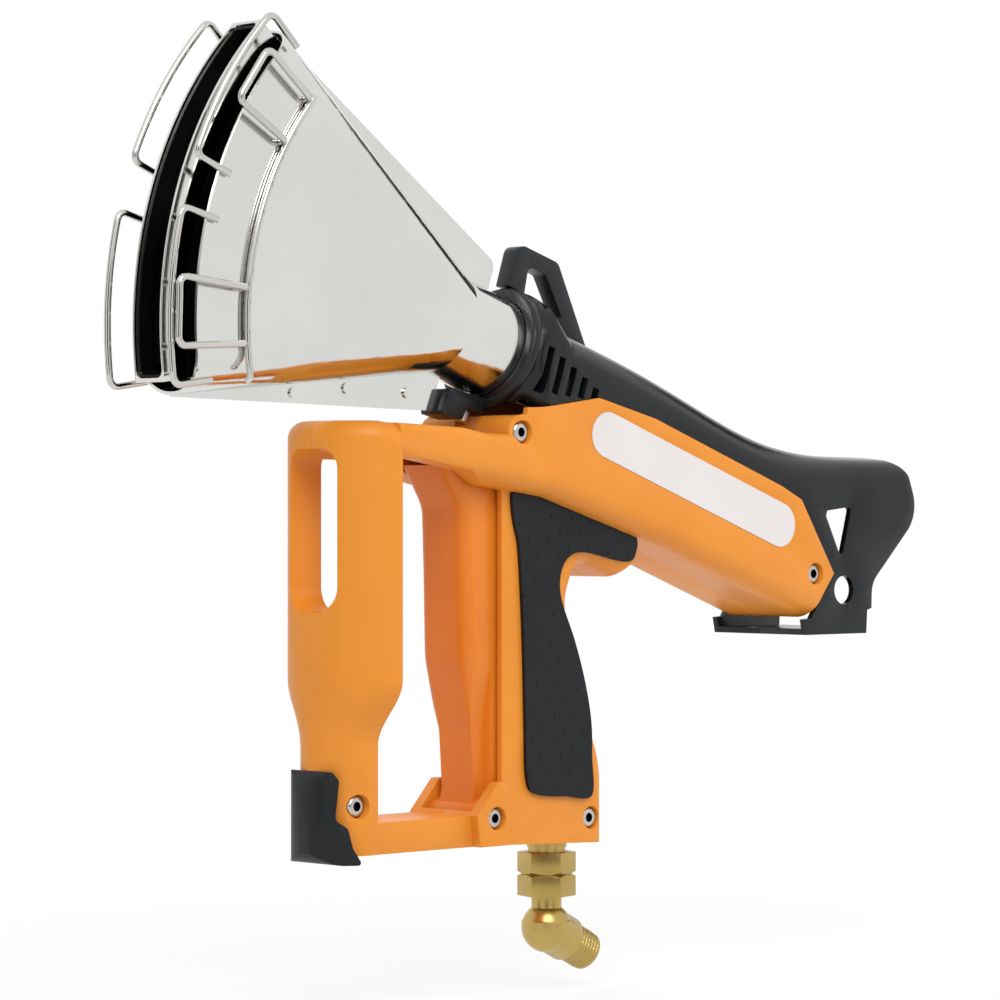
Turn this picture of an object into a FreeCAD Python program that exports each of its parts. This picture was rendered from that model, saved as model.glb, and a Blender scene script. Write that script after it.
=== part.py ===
import FreeCAD, Part

# Hand-held propane heat gun for shrink film: an orange two-half handle with a hand guard and a
# full-length trigger, a black air housing with a venturi tube, and a steel fan nozzle that turns.
#
# Frame, in millimetres: +X to the tail, -X to the nozzle, +Z up, and Y across. The left half lies
# at -Y. The origin is on the mid-plane at the back of the hand grip, where the palm bears.

import math
import os
import Sketcher
from types import SimpleNamespace
from FreeCAD import Placement, Rotation, Vector

DOC = FreeCAD.newDocument("HeatGun")

# ---------------------------------------------------------------- driving dimensions

SIZES = [
    # barrel axis: a point on it and its tilt, nozzle end up
    ("barrel_x", -22.0, "barrel axis point, along X"),
    ("barrel_z", 113.3, "barrel axis point, height"),
    ("barrel_tilt", 19.0, "barrel axis above level, degrees"),
    # orange casing
    ("casing_wall", 2.6, "wall of the moulded halves"),
    ("body_half_width", 25.0, "mid-plane to the side panel"),
    ("body_front", -38.5, "front face of the casing under the barrel"),
    ("body_tail", 135.0, "rear corner of the side panel"),
    ("belly_radius", 8.0, "rounding along the belly"),
    ("panel_radius", 3.0, "rounding along the panel's upper edge"),
    ("grip_half_width", 16.0, "mid-plane to the side of the grip"),
    ("grip_front", -38.0, "front edges of the grip"),
    ("grip_back_radius", 7.0, "rounding of the palm side"),
    ("grip_foot_back", 16.8, "back of the grip at its foot"),
    ("grip_bottom", -68.0, "underside of the grip foot"),
    ("bar_half_width", 14.0, "mid-plane to the side of the bottom bar"),
    ("cheek_half_width", 18.0, "mid-plane to the cheeks at the trigger's pivot"),
    ("bar_top", -54.7, "upper face of the bottom bar"),
    ("bar_bottom", -66.0, "underside of the bottom bar"),
    ("guard_front", -117.0, "front of the hand guard"),
    ("guard_back", -97.0, "back of the hand guard"),
    ("guard_half_width", 27.0, "half width of the upper guard"),
    ("guard_top", 88.0, "top of the hand guard"),
    ("guard_shoulder", -3.0, "height where the guard starts to narrow"),
    ("guard_waist", -28.0, "height where the guard has narrowed"),
    ("guard_hollow", 4.5, "hollow of the guard's back at the slot"),
    ("guard_round", 6.5, "rounding of the guard's front upper edge"),
    ("guard_corner", 11.0, "rounding of the guard's upper corners"),
    ("guard_slot_half", 12.4, "half width of the guard's slot"),
    ("guard_slot_low", 20.0, "bottom of the guard's slot"),
    ("guard_slot_high", 78.0, "top of the guard's slot"),
    ("bridge_under", 74.5, "underside of the bridge from guard to body"),
    # fasteners
    ("screw_head_radius", 4.0, "casing screw head"),
    ("screw_head_height", 2.6, "casing screw head"),
    ("screw_radius", 1.9, "casing screw shank"),
    ("screw_sink", 1.2, "screw head below the casing's face"),
    ("boss_radius", 4.3, "screw boss inside the casing"),
    # pads, plate and bumper
    ("pad_thickness", 1.6, "rubber cheek of the grip"),
    ("pad_gap", 0.05, "cheek to grip"),
    ("bumper_wall", 3.0, "rubber shoe outside the guard"),
    ("plate_radius", 8.5, "rounded end of the name plate"),
    ("plate_sink", 0.8, "name plate's recess"),
    ("plate_stand", 0.2, "name plate above the panel"),
    # trigger
    ("pivot_x", -42.0, "trigger pivot"),
    ("pivot_z", -56.0, "trigger pivot"),
    ("trigger_half_width", 12.6, "half width of the trigger"),
    ("trigger_gap", 0.8, "trigger side to the channel wall"),
    ("trigger_back", -34.5, "back face of the trigger"),
    ("finger_radius", 5.0, "rounding of the trigger's front edges"),
    ("pivot_play", 0.06, "radial play of the trigger on its boss"),
    ("eye_radius", 6.7, "trigger's pivot eye"),
    # gas valve, igniter and their plungers
    ("valve_height", -22.0, "gas valve's centre line"),
    ("valve_radius", 8.0, "gas valve's barrel"),
    ("valve_front", -29.0, "front of the gas valve"),
    ("plunger_radius", 2.5, "valve plunger"),
    ("plunger_play", 0.05, "radial play of the plungers"),
    ("plunger_gap", 0.4, "plunger tip to the trigger"),
    ("igniter_height", 22.0, "igniter's centre line"),
    ("igniter_radius", 6.8, "igniter's body"),
    ("igniter_front", -25.0, "front of the igniter"),
    ("igniter_back", -5.5, "back of the igniter"),
    ("striker_radius", 3.6, "igniter's striker"),
    # gas inlet
    ("inlet_x", 0.8, "gas inlet axis"),
    ("nipple_radius", 6.4, "inlet nipple"),
    ("washer_radius", 7.5, "sealing washers"),
    ("washer_height", 1.8, "one sealing washer"),
    ("nut_flats", 19.0, "union nut across flats"),
    ("nut_height", 16.4, "union nut"),
    ("stem_radius", 5.65, "elbow stem below the nut"),
    ("stem_play", 0.05, "radial play of the stem in the nut"),
    ("elbow_radius", 9.4, "cast body of the elbow"),
    ("elbow_drop", -100.0, "height where the elbow turns"),
    ("elbow_angle", 27.0, "outlet below level, degrees"),
    ("outlet_radius", 7.3, "outlet thread"),
    ("outlet_collar", 8.6, "shoulder behind the outlet thread"),
    ("outlet_reach", 23.0, "elbow centre to the outlet's end"),
    ("outlet_bore", 4.0, "radius of the gas way"),
    # black air housing
    ("housing_wall", 2.4, "wall of the housing halves"),
    ("housing_half_width", 24.4, "mid-plane to the housing's side"),
    ("seam_gap", 0.25, "housing to casing"),
    ("tail_floor", 7.1, "underside of the housing's tail"),
    ("collar_front", 8.3, "front of the collar, along the barrel"),
    ("collar_back", 4.5, "back of the collar, along the barrel"),
    ("collar_radius", 24.0, "outside of the collar"),
    ("hook_thickness", 7.0, "hanging hook plate"),
    ("latch_at", 12.4, "locking pin, along the barrel"),
    ("latch_radius", 1.6, "locking pin"),
    # barrel tube
    ("venturi_wall", 1.2, "wall of the venturi tube"),
    ("venturi_throat", 7.0, "inside radius of the throat"),
    ("swivel_play", 0.06, "radial play of the nozzle on its spigot and in the collar"),
    ("injector_radius", 6.0, "gas injector"),
    ("pipe_radius", 2.2, "gas pipe"),
    ("pipe_side", 9.4, "gas pipe beside the igniter, from the mid-plane"),
    ("pipe_x", -14.0, "gas pipe's outlet from the valve"),
    ("foot_radius", 5.7, "foot of the gas valve on the inlet"),
    # nozzle
    ("sheet", 1.2, "nozzle sheet"),
    ("neck_radius", 19.0, "outside of the nozzle's neck"),
    ("neck_end", 34.0, "where the neck starts to fan out"),
    ("mouth_half_depth", 15.4, "half depth of the nozzle at its mouth"),
    ("fan_slope", 0.445, "rise of the fan's edge along the barrel"),
    ("mouth_centre", 20.0, "centre of the mouth's arc, along the barrel"),
    ("cowl_radius", 141.0, "arc of the cowl's edge"),
    ("rim_radius", 150.0, "arc of the rim's front edge"),
    ("rim_depth", 10.5, "rim band from back to front"),
    ("duct_half_depth", 6.6, "half depth of the flame duct"),
    ("flange_inner", 28.5, "inner end of the lower flange"),
    ("flange_neck", 30.5, "half height of the flanges at the neck"),
    ("flange_mouth", 69.0, "half height of the flanges at the mouth"),
    ("rivet_radius", 1.4, "rivet through the flanges"),
    ("wire_radius", 1.25, "guard wire"),
    ("wire_reach", 155.5, "arc of the guard's front wires"),
    ("arc_wire_reach", 120.5, "arc of the wire across the cowl"),
]

sheet = DOC.addObject("Spreadsheet::Sheet", "Sizes")
for row, (alias, value, note) in enumerate(SIZES, start=1):
    sheet.set(f"A{row}", note)
    sheet.set(f"B{row}", str(value))
    sheet.setAlias(f"B{row}", alias)
DOC.recompute()
k = SimpleNamespace(**{alias: float(sheet.get(alias)) for alias, value, note in SIZES})

LEFT = 1        # sketches on the XZ plane face -Y, which is the left
RIGHT = -1

# ---------------------------------------------------------------- drawing helpers


def plane(body, role):
    """The body's own origin plane with this role."""
    return next(feature for feature in body.Origin.OriginFeatures if feature.Role == role)


def new_body(label):
    body = DOC.addObject("PartDesign::Body", label)
    body.Label = label
    return body


def new_sketch(body, name, role, offset="0"):
    """A sketch on an origin plane, set off along the plane's normal."""
    sketch = body.newObject("Sketcher::SketchObject", name)
    sketch.AttachmentSupport = [(plane(body, role), "")]
    sketch.MapMode = "FlatFace"
    sketch.setExpression("AttachmentOffset.Base.z", offset)
    return sketch


def outline_edges(corners):
    """Lines and tangent arcs through corners (a, b) or (a, b, radius), closed."""
    points = [Vector(corner[0], corner[1], 0) for corner in corners]
    radii = [corner[2] if len(corner) > 2 else 0.0 for corner in corners]
    starts, ends, arcs = [], [], []
    for i, point in enumerate(points):
        back = (points[i - 1] - point).normalize()
        ahead = (points[(i + 1) % len(points)] - point).normalize()
        radius = radii[i]
        if not radius:
            starts.append(point)
            ends.append(point)
            continue
        half = back.getAngle(ahead) / 2
        reach = radius / math.tan(half)
        start = point + back * reach
        end = point + ahead * reach
        centre = point + (back + ahead).normalize() * (radius / math.sin(half))
        turn = back.cross(ahead).z
        first, last = (start, end) if turn < 0 else (end, start)
        angles = [math.atan2(p.y - centre.y, p.x - centre.x) for p in (first, last)]
        arcs.append(Part.ArcOfCircle(Part.Circle(centre, Vector(0, 0, 1), radius), *angles))
        starts.append(start)
        ends.append(end)
    lines = []
    for i, end in enumerate(ends):
        following = starts[(i + 1) % len(starts)]
        if end.distanceToPoint(following) > 1e-6:
            lines.append(Part.LineSegment(end, following))
    return lines + arcs


def draw(sketch, corners):
    sketch.addGeometry(outline_edges(corners), False)
    return sketch


def draw_circle(sketch, a, b, radius):
    """A circle whose radius, an expression, stays bound to the sheet."""
    index = sketch.addGeometry(Part.Circle(Vector(a, b, 0), Vector(0, 0, 1), 1.0), False)
    item = sketch.addConstraint(Sketcher.Constraint("Radius", index, 1.0))
    sketch.setExpression(f"Constraints[{item}]", radius)
    return sketch


def extrude(body, sketch, length, reverse=False, cut=False, both=False):
    kind = "PartDesign::Pocket" if cut else "PartDesign::Pad"
    feature = body.newObject(kind, sketch.Name + ("Cut" if cut else "Pad"))
    feature.Profile = sketch
    feature.setExpression("Length", length)
    feature.Reversed = reverse
    feature.Midplane = both
    sketch.Visibility = False
    return feature


def slab(body, name, corners, length, side, start="0", cut=False):
    """A plate or a pocket drawn on the mid-plane and running outwards from depth start."""
    offset = start if side == LEFT else f"-({start})"
    sketch = draw(new_sketch(body, name, "XZ_Plane", offset), corners)
    return extrude(body, sketch, length, reverse=(side == RIGHT) != cut, cut=cut)


def peg(body, name, a, b, radius, length, side, start="0", cut=False):
    """A round boss or hole across the mid-plane, running outwards from depth start."""
    offset = start if side == LEFT else f"-({start})"
    sketch = draw_circle(new_sketch(body, name, "XZ_Plane", offset), a, b, radius)
    return extrude(body, sketch, length, reverse=(side == RIGHT) != cut, cut=cut)


def fillet(body, name, radius, wanted):
    """Round the edges of the body's tip that the test picks."""
    DOC.recompute()
    tip = body.Tip
    names = [f"Edge{i}" for i, edge in enumerate(tip.Shape.Edges, start=1) if wanted(edge)]
    feature = body.newObject("PartDesign::Fillet", name)
    feature.Base = (tip, names)
    feature.setExpression("Radius", radius)
    feature.Refine = False
    return feature


def on_face(edge, depth):
    """True where the whole edge lies at this distance from the mid-plane."""
    box = edge.BoundBox
    return abs(abs(box.YMin) - depth) < 1e-4 and abs(abs(box.YMax) - depth) < 1e-4


def middle(edge):
    return edge.valueAt((edge.FirstParameter + edge.LastParameter) / 2)


def barrel_point(along, above):
    """X and Z of a point given along the barrel axis (+ to the mouth) and above it."""
    tilt = math.radians(k.barrel_tilt)
    x = k.barrel_x - along * math.cos(tilt) + above * math.sin(tilt)
    z = k.barrel_z + along * math.sin(tilt) + above * math.cos(tilt)
    return x, z


BARREL_TURN = Rotation(Vector(0, 1, 0), k.barrel_tilt) * Rotation(Vector(0, 0, 1), 180)


def along_barrel(thing):
    """Place a piece whose own +X runs along the barrel to the mouth and +Y to the left."""
    thing.Placement = Placement(Vector(k.barrel_x, 0, k.barrel_z), BARREL_TURN)
    thing.setExpression("Placement.Base.x", "Sizes.barrel_x")
    thing.setExpression("Placement.Base.z", "Sizes.barrel_z")
    return thing


def revolve(body, name, corners, role="XZ_Plane", axis="X_Axis"):
    """A ring or spindle from a half section turned about one of the body's own axes."""
    sketch = draw(new_sketch(body, name, role), corners)
    feature = body.newObject("PartDesign::Revolution", name + "Turn")
    feature.Profile = sketch
    feature.ReferenceAxis = (plane(body, axis), [""])
    feature.Angle = 360
    sketch.Visibility = False
    return feature


# ---------------------------------------------------------------- outlines that pieces share

PIVOT = (k.pivot_x, k.pivot_z)
SCREWS = {                        # name: (x, z, half width of the casing there)
    "front": (-35.5, 84.5, k.body_half_width),
    "tail": (124.3, 31.0, k.body_half_width),
    "guard": (-106.0, -48.5, k.bar_half_width),
    "pivot": (k.pivot_x, k.pivot_z, k.cheek_half_width),
    "foot": (8.5, -58.5, k.grip_half_width),
}


def panel_outline():
    """Side panel of the casing with the bridge to the guard, clockwise from the bridge."""
    return [
        (k.guard_back - 5, k.guard_top - 0.5), (-64, 86.0), (-52.0, 84.0),
        (k.body_front, 83.8), (k.body_front, 90.4), (-33.6, 91.2), (-32.9, 93.6), (-24.7, 93.8),
        (3.9, 97.6), (33.9, 90.3), (104.4, 65.3),
        (116.0, 60.0), (k.body_tail, 31.0), (129.0, 23.5), (122.0, 14.0), (46.0, 41.5),
        (30.0, 46.0), (-20.0, 61.0), (-52.0, 65.5), (-60.0, 70.5), (-84.0, k.bridge_under),
        (k.guard_back - 5, k.bridge_under),
    ]


def grip_outline():
    """Side of the hand grip, clockwise from its upper front."""
    return [
        (k.grip_front, 64.0), (-20.0, 64.0), (31.5, 48.0), (31.5, 37.0), (23.0, 31.0),
        (4.0, 38.5, 8.0), (-1.5, 24.0, 12.0), (-1.0, 6.0, 40.0),
        (k.grip_foot_back, -38.0, 40.0), (k.grip_foot_back, k.grip_bottom),
        (k.grip_front, k.bar_bottom),
    ]


def stadium(sketch, radius):
    """Round-ended outline of the name plate and its recess."""
    first, last = Vector(8.2, 84.0, 0), Vector(103.3, 50.2, 0)
    ahead = (last - first).normalize() * radius
    across = Vector(-ahead.y, ahead.x, 0)
    sketch.addGeometry([
        Part.LineSegment(first + across, last + across),
        Part.Arc(last + across, last + ahead, last - across),
        Part.LineSegment(last - across, first - across),
        Part.Arc(first - across, first - ahead, first + across)], False)


# ---------------------------------------------------------------- casing halves


def guard_section(body, name, height, half_width, front_round, hollow):
    """Half of the guard's level section: bowed front, hollow back."""
    sketch = new_sketch(body, name, "XY_Plane", f"{height}")
    side = body.Side
    front, back = k.guard_front, k.guard_back
    nose = Vector(front, 0, 0)
    tail = Vector(back, -side * half_width, 0)
    bow = Vector(front + (back - front) * front_round, -side * half_width * 0.62, 0)
    cheek = Vector(back - hollow * 0.66, -side * half_width * 0.6, 0)
    corner = Vector(back - hollow, 0, 0)
    sketch.addGeometry([Part.Arc(nose, bow, tail), Part.Arc(tail, cheek, corner),
                        Part.LineSegment(corner, nose)], False)
    return sketch


def casing(label, side):
    body = new_body(label)
    body.addProperty("App::PropertyInteger", "Side", "Model", "1 on the left, -1 on the right")
    body.Side = side

    # barrel panel and bridge, its edges rounded before the rest joins
    slab(body, "Panel", panel_outline(), "Sizes.body_half_width", side)
    fillet(body, "BellyRound", "Sizes.belly_radius",
           lambda edge: on_face(edge, k.body_half_width) and -40 < middle(edge).x < 100
           and middle(edge).z < 64)
    fillet(body, "PanelRound", "Sizes.panel_radius",
           lambda edge: on_face(edge, k.body_half_width) and middle(edge).z > 80
           and middle(edge).x < k.body_front)

    # grip with a rounded palm side
    slab(body, "Grip", grip_outline(), "Sizes.grip_half_width", side)
    fillet(body, "PalmRound", "Sizes.grip_back_radius",
           lambda edge: on_face(edge, k.grip_half_width) and middle(edge).x > -6
           and -66 < middle(edge).z < 26)

    # bottom bar
    slab(body, "Bar", [(k.guard_back - 3, k.bar_top), (k.grip_front + 4, k.bar_top),
                       (k.grip_front + 4, k.bar_bottom), (k.guard_back - 3, k.bar_bottom)],
         "Sizes.bar_half_width", side)
    slab(body, "PivotCheek", [(-52.2, k.bar_top), (-41.4, -42.8), (k.grip_front + 2, -42.8),
                              (k.grip_front + 2, k.bar_bottom), (-50.5, k.bar_bottom)],
         "Sizes.cheek_half_width", side)

    # guard: wide above, narrow below, lofted between
    wide, narrow = k.guard_half_width, k.bar_half_width
    upper = guard_section(body, "GuardUpper", k.guard_shoulder, wide, 0.22, k.guard_hollow)
    extrude(body, upper, "Sizes.guard_top - Sizes.guard_shoulder")
    taper = [guard_section(body, "GuardTaper0", k.guard_shoulder, wide, 0.22, k.guard_hollow),
             guard_section(body, "GuardTaper1", k.guard_shoulder - 7, wide - 2.2, 0.21, 4.0),
             guard_section(body, "GuardTaper2", k.guard_waist + 7, narrow + 2.2, 0.17, 1.2),
             guard_section(body, "GuardTaper3", k.guard_waist, narrow, 0.16, 0.5)]
    loft = body.newObject("PartDesign::AdditiveLoft", "GuardTaper")
    loft.Profile = taper[0]
    loft.Sections = taper[1:]
    lower = guard_section(body, "GuardLower", k.guard_waist, narrow, 0.16, 0.5)
    extrude(body, lower, "Sizes.guard_waist - Sizes.bar_bottom", reverse=True)

    # rounded upper corner of the guard
    corner = new_sketch(body, "GuardCorner", "YZ_Plane", "Sizes.guard_back + 1")
    edge, top, turn = wide + 0.2, k.guard_top + 0.2, k.guard_corner
    swing = turn * (1 - math.sqrt(0.5))
    first, last = Vector(-side * (wide - turn), k.guard_top, 0), Vector(-side * wide, k.guard_top - turn, 0)
    bend = Vector(-side * (wide - swing), k.guard_top - swing, 0)
    outer = [Vector(-side * edge, k.guard_top - turn, 0), Vector(-side * edge, top, 0),
             Vector(-side * (wide - turn), top, 0)]
    corner.addGeometry([Part.Arc(first, bend, last), Part.LineSegment(last, outer[0]),
                        Part.LineSegment(outer[0], outer[1]), Part.LineSegment(outer[1], outer[2]),
                        Part.LineSegment(outer[2], first)], False)
    extrude(body, corner, "Sizes.guard_back - Sizes.guard_front + 5", cut=True)
    fillet(body, "GuardTop", "Sizes.guard_round",
           lambda edge: middle(edge).z > 74 and middle(edge).x < k.guard_back - 6
           and abs(middle(edge).y) > 0.5 and edge.BoundBox.XMin < k.guard_back - 8)

    # slot between the guard's two legs
    window = draw(new_sketch(body, "GuardSlot", "YZ_Plane", "Sizes.guard_back + 3"), [
        (0, k.guard_slot_high), (-side * k.guard_slot_half, k.guard_slot_high, 7.0),
        (-side * k.guard_slot_half, k.guard_slot_low, 9.0), (0, k.guard_slot_low)])
    extrude(body, window, "Sizes.guard_back - Sizes.guard_front + 10", cut=True)

    # hollow for the barrel tube, open at the top where the housing closes it
    wall = k.casing_wall
    front = k.body_front + wall
    slab(body, "BarrelHollow", [
        (front, 120), (150, 120), (150, 62), (113.5, 58.5), (k.body_tail - 3.5, 31.2),
        (127.0, 25.5), (121.0, 24.5), (50.0, 50.0), (35.0, 54.5), (-18.0, 70.0), (front, 73.0)],
        "Sizes.body_half_width - Sizes.casing_wall", side, cut=True)
    slab(body, "BellyHollow", [
        (front, 90.0), (100.0, 60.0), (126.0, 30.0), (126.0, 24.5), (121.0, 17.2), (48.0, 43.8),
        (34.0, 48.5), (-18.0, 64.0), (front, 67.0)],
        "Sizes.body_half_width - Sizes.belly_radius", side, cut=True)

    # hollow of the grip, and the channel that the trigger swings in
    slab(body, "GripHollow", [
        (-32.0, 72.0), (-12.0, 66.0), (26.0, 46.0), (27.0, 38.5), (23.0, 35.0), (2.0, 42.0),
        (-5.0, 26.0), (-4.5, 6.0), (k.grip_foot_back - 4.5, -38.0),
        (k.grip_foot_back - 4.5, -50.0), (-2.0, -63.0), (-32.0, -50.0)],
        "Sizes.grip_half_width - Sizes.casing_wall", side, cut=True)
    slab(body, "TriggerChannel", [
        (-90.0, k.bridge_under - 2), (-90.0, k.bridge_under + 5.5), (-60.0, 79.0), (-30.0, 76.0),
        (-30.0, -45.0), (k.pivot_x + 9.5, -52.0), (k.pivot_x + 9.5, -63.0), (-50.5, -63.0),
        (-50.8, -52.0), (-64.0, -40.0), (-80.0, 20.0)],
        "Sizes.trigger_half_width + Sizes.trigger_gap", side, cut=True)

    # recess of the name plate
    if side == LEFT:
        recess = new_sketch(body, "PlateRecess", "XZ_Plane",
                            "Sizes.body_half_width - Sizes.plate_sink")
        stadium(recess, k.plate_radius + k.pad_gap)
        extrude(body, recess, "Sizes.plate_sink + 1", reverse=True, cut=True)

    # screw bosses: the trigger turns on the pair at its pivot
    for name, start in (("front", 6), ("tail", 0)):
        peg(body, "Boss" + name.title(), *SCREWS[name][:2], "Sizes.boss_radius + 2",
            f"Sizes.body_half_width - Sizes.casing_wall / 2 - {start}", side, start=f"{start}")
    peg(body, "BossPivot", *PIVOT, "Sizes.boss_radius", "Sizes.cheek_half_width - 1", side)

    # bore for the gas inlet through the grip's foot
    inlet = draw_circle(new_sketch(body, "InletBore", "XY_Plane", "Sizes.grip_bottom - 1"),
                        k.inlet_x, 0, "Sizes.nipple_radius")
    extrude(body, inlet, "8", reverse=True, cut=True)
    seat = draw_circle(new_sketch(body, "ValveSeat", "XY_Plane", "Sizes.grip_bottom + 7"),
                       k.inlet_x, 0, "Sizes.foot_radius + Sizes.pad_gap")
    extrude(body, seat, "42", reverse=True, cut=True)

    # screw holes: sunk heads on the left, blind on the right
    for name, (x, z, half_width) in SCREWS.items():
        title = name.title()
        if side == LEFT:
            peg(body, "Shank" + title, x, z, "Sizes.screw_radius", f"{half_width}", side, cut=True)
            peg(body, "Sink" + title, x, z, "Sizes.screw_head_radius + 0.3",
                "Sizes.screw_head_height + Sizes.screw_sink + 1", side,
                start=f"{half_width} - Sizes.screw_head_height - Sizes.screw_sink", cut=True)
        else:
            peg(body, "Shank" + title, x, z, "Sizes.screw_radius", f"{half_width - 4.0}", side,
                cut=True)
    return body


# ---------------------------------------------------------------- covers and pads on the casing


def casing_screw(name, x, z, half_width):
    """One button-head screw along Y, its head sunk in the left half."""
    head = half_width - k.screw_sink
    shank_length = head - k.screw_head_height + half_width - 6.0
    face = Vector(x, -head, z)
    solid = Part.makeCylinder(k.screw_head_radius, k.screw_head_height, face, Vector(0, 1, 0))
    shank = Part.makeCylinder(k.screw_radius - 0.1, shank_length + k.screw_head_height, face,
                              Vector(0, 1, 0))
    socket = Part.makeCylinder(1.6, 1.4, face - Vector(0, 0.01, 0), Vector(0, 1, 0))
    return solid.fuse(shank).cut(socket).removeSplitter()


def casing_screws():
    group = DOC.addObject("Part::Feature", "casing_screws")
    group.Label = "casing_screws"
    group.Shape = Part.makeCompound([casing_screw(name, *place) for name, place in SCREWS.items()])
    return group


def pad_outline():
    """Side of the rubber pad: a stem down the grip and an arm back along the body."""
    return [
        (-31.5, 60.5, 3.0), (-22.0, 59.6, 4.0), (29.5, 44.2, 3.0), (29.5, 38.0, 3.0),
        (23.0, 33.0, 4.0), (4.5, 40.3, 7.0), (-8.0, 28.0, 12.0), (-8.0, 8.0, 40.0),
        (9.5, -36.0, 40.0), (9.5, -50.0, 1.5), (-21.0, -50.0, 5.0), (-27.0, -38.0, 8.0),
        (-24.5, -10.0, 30.0), (-27.5, 34.0, 20.0),
    ]


def grip_pad(label, side):
    """Rubber cheek laid on the grip's side, 1.6 mm thick."""
    body = new_body(label)
    slab(body, "Cheek", pad_outline(), "Sizes.pad_thickness", side,
         start="Sizes.grip_half_width + Sizes.pad_gap")
    fillet(body, "CheekRound", "Sizes.pad_thickness * 0.5",
           lambda edge: on_face(edge, k.grip_half_width + k.pad_gap + k.pad_thickness))
    return body


def everything_but(sketch, corners):
    """A wide frame round an outline, to trim away all that lies outside it."""
    frame = [(-400, -400), (-400, 400), (400, 400), (400, -400)]
    sketch.addGeometry(outline_edges(frame) + outline_edges(corners), False)
    return sketch


def foot_bumper():
    """Rubber shoe round the guard's lower front corner."""
    body = new_body("foot_bumper")
    front, low = k.guard_front - k.bumper_wall, k.bar_bottom - k.bumper_wall
    width = k.bar_half_width + k.bumper_wall
    shoe = new_sketch(body, "Shoe", "XY_Plane", "Sizes.bar_bottom - Sizes.bumper_wall")
    shoe.addGeometry([
        Part.Arc(Vector(k.guard_back, -width, 0), Vector(front, 0, 0),
                 Vector(k.guard_back, width, 0)),
        Part.LineSegment(Vector(k.guard_back, width, 0), Vector(k.guard_back, -width, 0))], False)
    extrude(body, shoe, "40")
    trim = everything_but(new_sketch(body, "ShoeSide", "XZ_Plane"), [
        (front - 1, -46.0, 6.0), (-117.0, -34.5, 1.0), (-114.5, -39.0, 2.0), (-115.5, -53.0, 3.0),
        (-112.0, -56.0, 2.0), (-110.5, -63.0, 2.0), (-107.0, low, 1.0), (front - 1, low, 8.0)])
    extrude(body, trim, "100", both=True, cut=True)
    socket = new_sketch(body, "Socket", "XY_Plane", "Sizes.bar_bottom - Sizes.pad_gap")
    nose, width = k.guard_front - k.pad_gap, k.bar_half_width + k.pad_gap
    bow = nose + (k.guard_back - nose) * 0.16
    socket.addGeometry([
        Part.Arc(Vector(nose, 0, 0), Vector(bow, width * 0.62, 0),
                 Vector(k.guard_back, width, 0)),
        Part.LineSegment(Vector(k.guard_back, width, 0), Vector(-80, width, 0)),
        Part.LineSegment(Vector(-80, width, 0), Vector(-80, -width, 0)),
        Part.LineSegment(Vector(-80, -width, 0), Vector(k.guard_back, -width, 0)),
        Part.Arc(Vector(k.guard_back, -width, 0), Vector(bow, -width * 0.62, 0),
                 Vector(nose, 0, 0))], False)
    extrude(body, socket, "60", reverse=True, cut=True)
    return body


def label_plate():
    """Bare name plate in its stadium recess on the left side panel."""
    body = new_body("label_plate")
    sketch = new_sketch(body, "Plate", "XZ_Plane", "Sizes.body_half_width - Sizes.plate_sink")
    stadium(sketch, k.plate_radius)
    extrude(body, sketch, "Sizes.plate_sink + Sizes.plate_stand")
    return body


# ---------------------------------------------------------------- trigger and what it works


def trigger_outline():
    """Side of the trigger, clockwise from the top of its front."""
    return [
        (-63.5, 72.5), (-44.0, 69.5), (k.trigger_back, 62.0), (k.trigger_back, -42.0),
        (k.pivot_x + 6.0, k.pivot_z), (k.pivot_x, k.pivot_z - 4.0),
        (k.pivot_x - 5.5, k.pivot_z), (-45.0, -46.0), (-46.5, -24.0, 20.0),
        (-52.5, 2.0, 40.0), (-53.2, 35.0, 40.0), (-54.0, 57.0, 12.0),
    ]


def trigger():
    body = new_body("trigger")
    sketch = draw(new_sketch(body, "Lever", "XZ_Plane"), trigger_outline())
    extrude(body, sketch, "2 * Sizes.trigger_half_width", both=True)
    fillet(body, "FingerRound", "Sizes.finger_radius",
           lambda edge: on_face(edge, k.trigger_half_width) and middle(edge).x < -44.5
           and -45.5 < middle(edge).z < 69)
    for side in (LEFT, RIGHT):
        waist = draw(new_sketch(body, f"Waist{side}", "YZ_Plane", "Sizes.trigger_back - 6"), [
            (-side * k.trigger_half_width * 1.01, 0.0), (-side * 8.5, -24.0, 20.0),
            (-side * 8.5, -60.0), (-side * 20, -60.0), (-side * 20, 0.0)])
        extrude(body, waist, "40", cut=True)
    eye = draw_circle(new_sketch(body, "Eye", "XZ_Plane"), *PIVOT, "Sizes.eye_radius")
    extrude(body, eye, "2 * Sizes.trigger_half_width", both=True)
    bore = draw_circle(new_sketch(body, "EyeBore", "XZ_Plane"), *PIVOT,
                       "Sizes.boss_radius + Sizes.pivot_play")
    extrude(body, bore, "4 * Sizes.trigger_half_width", both=True, cut=True)
    return body


def spindle(label, height, radius, head_radius, length):
    """A plunger along X with a round head towards the trigger."""
    body = new_body(label)
    tip = k.trigger_back + k.plunger_gap
    revolve(body, "Spindle", [(tip, 0), (tip, head_radius), (tip + 2.0, head_radius),
                              (tip + 2.0, radius), (tip + length, radius), (tip + length, 0)])
    body.Placement = Placement(Vector(0, 0, height), Rotation())
    return body


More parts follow.
